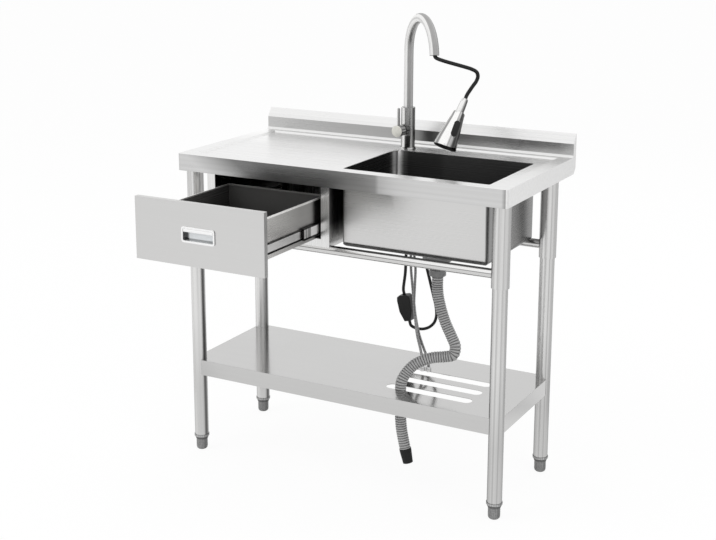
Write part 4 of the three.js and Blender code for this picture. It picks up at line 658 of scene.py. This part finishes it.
# The hub's cap: a pale cream non-metal, which paints the highlight on its end face.
cap_painted_highlight = moulded("cap_painted_highlight", 0.85, (0.25, 0.35), tint=(1.0, 0.99, 0.91))
foot_nylon = ribbed_foot("foot_nylon", 0.26)
grey_plastic = moulded("grey_plastic", 0.22, (0.38, 0.5), specular=0.45)
black_plastic = moulded("black_plastic", 0.008, (0.3, 0.42), specular=0.3)
black_rubber = moulded("black_rubber", 0.01, (0.55, 0.7), specular=0.25)
hose_black = moulded("hose_black", 0.008, (0.35, 0.5), grain=1400, specular=0.3)
wire_braid = braided("wire_braid", 0.42)
nozzle_plastic = moulded("nozzle_plastic", 0.06, (0.3, 0.4), specular=0.5)


# ------------------------------------------------------------------ free hoses
# Routes as in the part's source, in millimetres from the middle of the worktop.
GAP = 0.3                         # between pieces that touch
TAP = (24, 157)                   # the tap's axis
TAP_FOOT = 900.6
HOSE_START = TAP_FOOT - GAP
PORT_RADIUS = 9.3                 # ring of hose ends under the tap
PULL_PORT = 90                    # places on that ring, in degrees
HOT_PORT = 20
COLD_PORT = 310
SPOUT_TURN = math.radians(-44)
SPOUT_TOP = 1293
SPOUT_TUBE_RADIUS = 13.25
NECK_RADIUS = 102.5
NECK_ARC = 166                    # degrees of the gooseneck's arc
NECK_CENTRE = SPOUT_TOP - SPOUT_TUBE_RADIUS - NECK_RADIUS


def port(degrees):
    turn = math.radians(degrees)
    return TAP[0] + PORT_RADIUS * math.cos(turn), TAP[1] + PORT_RADIUS * math.sin(turn)


def neck(turn):
    """Point and direction on the gooseneck after that many degrees of its arc."""
    a = math.radians(turn)
    u = NECK_RADIUS * (1 - math.cos(a))
    z = NECK_CENTRE + NECK_RADIUS * math.sin(a)
    point = Vector((TAP[0] + u * math.cos(SPOUT_TURN), TAP[1] + u * math.sin(SPOUT_TURN), z))
    along = Vector((math.sin(a) * math.cos(SPOUT_TURN), math.sin(a) * math.sin(SPOUT_TURN), math.cos(a)))
    return point, along


HEAD_AXIS = Vector((0.2, 0.459, 0.865)).normalized()
HEAD_TOP = Vector((249.7, 48.5, 1069.9))

neck_end, neck_along = neck(NECK_ARC)
spray_route = [
    neck_end + neck_along * GAP, neck_end + neck_along * 7, (174, 15, 1182.5), (182, 16, 1178),
    (194, 17, 1174.5), (217, 24, 1168), (248, 37, 1159), (267, 48, 1152), (278, 56, 1144), (280, 61, 1132),
    (275, 62, 1118), (266, 59, 1104), HEAD_TOP + HEAD_AXIS * 12, HEAD_TOP + HEAD_AXIS * GAP,
]

WEIGHT = Vector((19, 154, 454))
LEAN = math.radians(13)


def through(distance):
    """A point that far down the leaning axis of the hose's weight."""
    return WEIGHT + Vector((math.sin(LEAN), 0, -math.cos(LEAN))) * distance


up_x, up_y = port(PULL_PORT)
under_route = [
    (TAP[0], TAP[1], HOSE_START), (TAP[0], TAP[1], 870), (TAP[0], TAP[1], 800), (TAP[0], TAP[1], 700),
    (TAP[0] - 1, TAP[1] - 1, 600), (TAP[0] - 3, TAP[1] - 2, 520), through(-14), through(0), through(28),
    through(56), through(80), through(85),
    (44, 151, 361.5), (61, 153, 355), (81, 156, 355), (100, 159, 363), (115, 161, 379),
    (121, 163, 402), (118, 164, 430), (110, 165, 458), (100, 166, 492), (86, 167, 540), (70, 168, 600),
    (54, 170, 660), (39, 172, 710), (28, 171, 755), (up_x + 1, up_y + 2, 792), (up_x, up_y, 822),
    (up_x, up_y, 845), (up_x, up_y, 870), (up_x, up_y, HOSE_START),
]


def supply_route(degrees, lower, end):
    x, y = port(degrees)
    above = (end[0], end[1], end[2] + 9)
    return [(x, y, HOSE_START), (x, y, 860), (x, y, 820), (x + 1, y, 760), *lower, above, end]


HOT_END = (168, 14, 298.6)
COLD_END = (150, 12, 298.6)
hot_route = supply_route(HOT_PORT, [
    (35, 160, 700), (38, 157, 645), (44, 144, 600), (53, 127, 548), (66, 111, 502), (85, 86, 451),
    (99, 69, 417), (120, 49, 376), (147, 27, 342), (163, 17, 321),
], HOT_END)
cold_route = supply_route(COLD_PORT, [
    (34, 150, 700), (39, 149.5, 664), (46, 144, 638), (58, 132, 602), (74, 114, 554), (82, 95, 507),
    (92, 71, 458), (107, 50, 418), (121, 35, 377), (137, 22, 346), (147, 14, 322),
], COLD_END)

DRAIN_TOP = 587.7
drain_route = [
    (214.5, -35, DRAIN_TOP), (214.5, -35, DRAIN_TOP - 15), (214.5, -35, DRAIN_TOP - 30),
    (217.5, -37, 535), (228.5, -42, 500), (246.5, -48, 460), (269, -54, 424), (283, -60, 400),
    (280, -67, 378), (258, -74, 371), (230, -84, 367), (203, -97, 358), (181, -110, 344),
    (166, -122, 325), (157, -134, 303), (155, -137.8, 280), (155, -138, 240), (156, -138, 200),
    (159, -138, 165), (164, -138, 138), (167.5, -138, 123), (171, -138, 108),
]


def world_route(route):
    return [at(*p) for p in route]


def free_hose(name, route, radius, node, body, material, step=2.0):
    """A smooth hose for a CAD node, with a ring of its mesh at each step (millimetres)."""
    dense = catmull(world_route(route), 400)
    length = length_of(dense)
    path = evenly(dense, round(length * 1000 / step))
    obj = tube(name, path, [radius / 1000] * len(path), material, sides=16)
    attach(obj, body)
    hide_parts(node)


free_hose("spray_hose_sleeve", spray_route, 5.2, "spray_hose", "spout", hose_black)
free_hose("pull_hose", under_route, 4.5, "under_hose", "frame", hose_black,
          step=3.0)
free_hose("hot_supply_hose", hot_route, 3.9, "supply_hose_hot", "frame", wire_braid)
free_hose("cold_supply_hose", cold_route, 3.9, "supply_hose_cold", "frame", wire_braid)


def corrugated_hose():
    """The drain hose, with round ribs; crest, root and pitch in millimetres."""
    crest, root, pitch = 16.0, 13.9, 7
    dense = catmull(world_route(drain_route), 600)
    length = length_of(dense)
    ribs = round(length * 1000 / pitch)
    hose_plastic = corrugated_plastic("hose_plastic", 0.48, length / ribs)
    steps = 10
    path = evenly(dense, ribs * steps)
    radii = []
    for i in range(len(path)):
        wave = 0.5 + 0.5 * math.cos(2 * math.pi * i / steps)
        radii.append((root + (crest - root) * wave ** 0.4) / 1000)
    obj = tube("corrugated_drain_hose", path, radii, hose_plastic, sides=28)
    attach(obj, "frame")
    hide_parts("drain_hose")


corrugated_hose()

# ------------------------------------------------------------------ CAD nodes that keep their shape
# The right legs get the same painted reflection streaks as the sleeves above the legs.
dress("worktop", sheet, 0.9, 3, angle=25)
dress("basin", basin_steel, 0.0)
dress("undershelf", shelf_steel, 0.8)
dress("drawer_cabinet", cabinet_steel, 0.4)
dress("drawer_front", front_steel, 0.6)
dress("drawer_pull", pull_chrome, 0.6)
dress("drawer_box", drawer_steel, 0.6)
for side in ("left", "right"):
    for member in ("cabinet", "middle", "drawer"):
        dress(f"{side}_slide_{member}_member", slide_zinc, 0.3, 1)
for row in ("front", "rear"):
    dress(f"{row}_rail", rail_steel, 0.0)
    for side in ("left", "right"):
        dress(f"leg_socket_{row}_{side}", socket_steel, 0.0)
        dress(f"leg_{row}_{side}", tube_steel if side == "left" else socket_steel, 0.0)
        dress(f"foot_insert_{row}_{side}", foot_nylon, 0.0)
        dress(f"foot_{row}_{side}", foot_nylon, 0.0)
dress("tap_base_ring", ring_steel)
dress("tap_body", tap_steel)
dress("tap_shank", plated)
dress("shank_washer", black_rubber)
dress("shank_nut", plated, 0.5)
dress("spout", spout_steel)
dress("outlet_bush", black_plastic)
dress("inner_hose", hose_black, angle=60)
dress("cartridge_stem", plated)
dress("lever_hub", hub_steel)
dress("lever_rod", tap_steel)
dress("hub_cap", cap_painted_highlight)
dress("hose_ferrule", ferrule_steel)
dress("spray_head", chrome)
dress("spray_button", black_plastic)
dress("nozzle_face", nozzle_plastic)
dress("hose_weight", black_plastic, 0.6)
dress("supply_nut_hot", plated, 0.4)
dress("supply_nut_cold", plated, 0.4)
dress("waste_cup", grey_plastic)
dress("strainer_basket", basket_chrome)
dress("waste_locknut", grey_plastic)
dress("coupling_nut", grey_plastic)
dress("hose_cuff", black_rubber)


def pull_hood():
    """The rounded hood over the upper part of the pull's cup, which the plain cup in CAD leaves out."""
    mesh = bpy.data.meshes.new("pull_hood")
    half_width = CUP_HALF_WIDTH - 0.0004
    top = CUP_HALF_HEIGHT
    foot = 0.0062
    section = [(-0.0004, top), (-0.0016, top - 0.001), (-0.0018, foot + 0.0025), (-0.0012, foot + 0.0006),
               (0.0002, foot), (0.0014, foot + 0.0006), (0.0018, top)]
    verts = [PULL_MIDDLE + Vector((side * half_width, y, z)) for side in (-1, 1) for y, z in section]
    n = len(section)
    faces = [(k, (k + 1) % n, n + (k + 1) % n, n + k) for k in range(n)]
    faces += [tuple(reversed(range(n))), tuple(range(n, 2 * n))]
    mesh.from_pydata(verts, [], faces)
    obj = new_object("pull_hood", mesh, pull_chrome)
    mesh.set_sharp_from_angle(angle=math.radians(50))
    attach(obj, "drawer")


pull_hood()

# ------------------------------------------------------------------ studio
# Soft darker zones between the studio's light walls: azimuth from +X and half width in degrees, and
# how much darker the middle is.
ZONES = ((205, 9, 0.3), (285, 9, 0.3), (28, 14, 0.35), (70, 8, 0.25), (345, 8, 0.25))
CORE = 0.45                       # a zone is full dark to this share of its half width
EDGE = 1.6                        # and gone at this one
DIFFUSE_SKY = 0.72
FLOOR_GLOW = 1.02


def wall_tone(g, direction):
    """1 where the studio's walls are white, less in the zones; these fade in steep directions."""
    parts = g.add("ShaderNodeSeparateXYZ", {0: direction})
    level = g.add("ShaderNodeCombineXYZ", {0: parts.outputs[0], 1: parts.outputs[1]}).outputs[0]
    level = g.add("ShaderNodeVectorMath", {0: level}, operation="NORMALIZE").outputs[0]
    level_share = g.spread(g.math("ABSOLUTE", parts.outputs[2]), 1, 0, 0.35, 0.6)
    tone = 1.0
    for azimuth, half, depth in ZONES:
        turn = math.radians(azimuth)
        facing = g.add("ShaderNodeVectorMath", {0: level, 1: (math.cos(turn), math.sin(turn), 0)},
                       operation="DOT_PRODUCT").outputs["Value"]
        near = math.cos(math.radians(half * CORE))
        far = math.cos(math.radians(half * EDGE))
        tone = g.math("SUBTRACT", tone, g.product(level_share, g.spread(facing, 0, depth, far, near)))
    return tone


def seen_directly(g):
    """1 for what the camera, or a reflection, sees."""
    rays = g.add("ShaderNodeLightPath").outputs
    either = g.math("MAXIMUM", rays["Is Camera Ray"], rays["Is Glossy Ray"])
    return g.math("MAXIMUM", either, rays["Is Transmission Ray"])


def studio_floor():
    mesh = bpy.data.meshes.new("studio_floor")
    mesh.from_pydata([(-30, -30, 0), (30, -30, 0), (30, 30, 0), (-30, 30, 0)], [], [(0, 1, 2, 3)])
    g = Graph("studio_floor")
    g.set(Base_Color=(0.9, 0.9, 0.9, 1), Roughness=0.9, Specular_IOR_Level=0.1)
    rays = g.add("ShaderNodeLightPath").outputs
    place = g.add("ShaderNodeTexCoord").outputs["Object"]
    far_off = g.add("ShaderNodeVectorMath", {0: place}, operation="LENGTH").outputs["Value"]
    tone = g.math("MAXIMUM", rays["Is Camera Ray"],
                  g.math("MAXIMUM", wall_tone(g, place), g.spread(far_off, 1, 0, 0.9, 1.6)))
    glow = g.add("ShaderNodeEmission", {"Color": g.shade(tone), "Strength": FLOOR_GLOW}).outputs[0]
    share = g.math("MULTIPLY", seen_directly(g), 0.9)
    both = g.add("ShaderNodeMixShader", {0: share, 1: g.shader.outputs[0], 2: glow}).outputs[0]
    output = next(n for n in g.nodes if n.type == "OUTPUT_MATERIAL")
    g.links.new(both, output.inputs["Surface"])
    obj = new_object("studio_floor", mesh, g.material, smooth=False)
    obj.location.z = -0.0002


def soft_light(name, location, target, size, power):
    """A lamp that lights the part but leaves its reflections to the walls."""
    data = bpy.data.lights.new(name, "AREA")
    data.shape = "RECTANGLE"
    data.size, data.size_y = size
    data.energy = power
    light = bpy.data.objects.new(name, data)
    bpy.context.scene.collection.objects.link(light)
    light.location = location
    light.visible_glossy = False
    light.rotation_euler = (Vector(target) - Vector(location)).to_track_quat("-Z", "Y").to_euler()


class WorldGraph(Graph):
    """The same calls for a world's nodes."""

    def __init__(self, world):
        world.use_nodes = True
        self.nodes = world.node_tree.nodes
        self.links = world.node_tree.links
        self.shader = self.nodes["Background"]


studio_floor()
soft_light("key", (-2.6, -2.6, 3.6), (0, 0, 0.6), (3.0, 2.4), 44)
soft_light("fill", (3.4, -1.6, 2.8), (0, 0, 0.6), (2.4, 2.6), 24)
soft_light("back", (0.4, 3.4, 3.4), (0, 0, 0.8), (4.0, 2.0), 22)

world = bpy.data.worlds.new("studio")
bpy.context.scene.world = world
sky = WorldGraph(world)
direct = seen_directly(sky)
walls = wall_tone(sky, sky.add("ShaderNodeTexCoord").outputs["Generated"])
indirect = sky.product(sky.math("SUBTRACT", 1.0, direct), DIFFUSE_SKY)
sky.set(Color=(1, 1, 1, 1), Strength=sky.math("ADD", sky.product(direct, walls), indirect))
bpy.context.scene.view_settings.view_transform = "Standard"
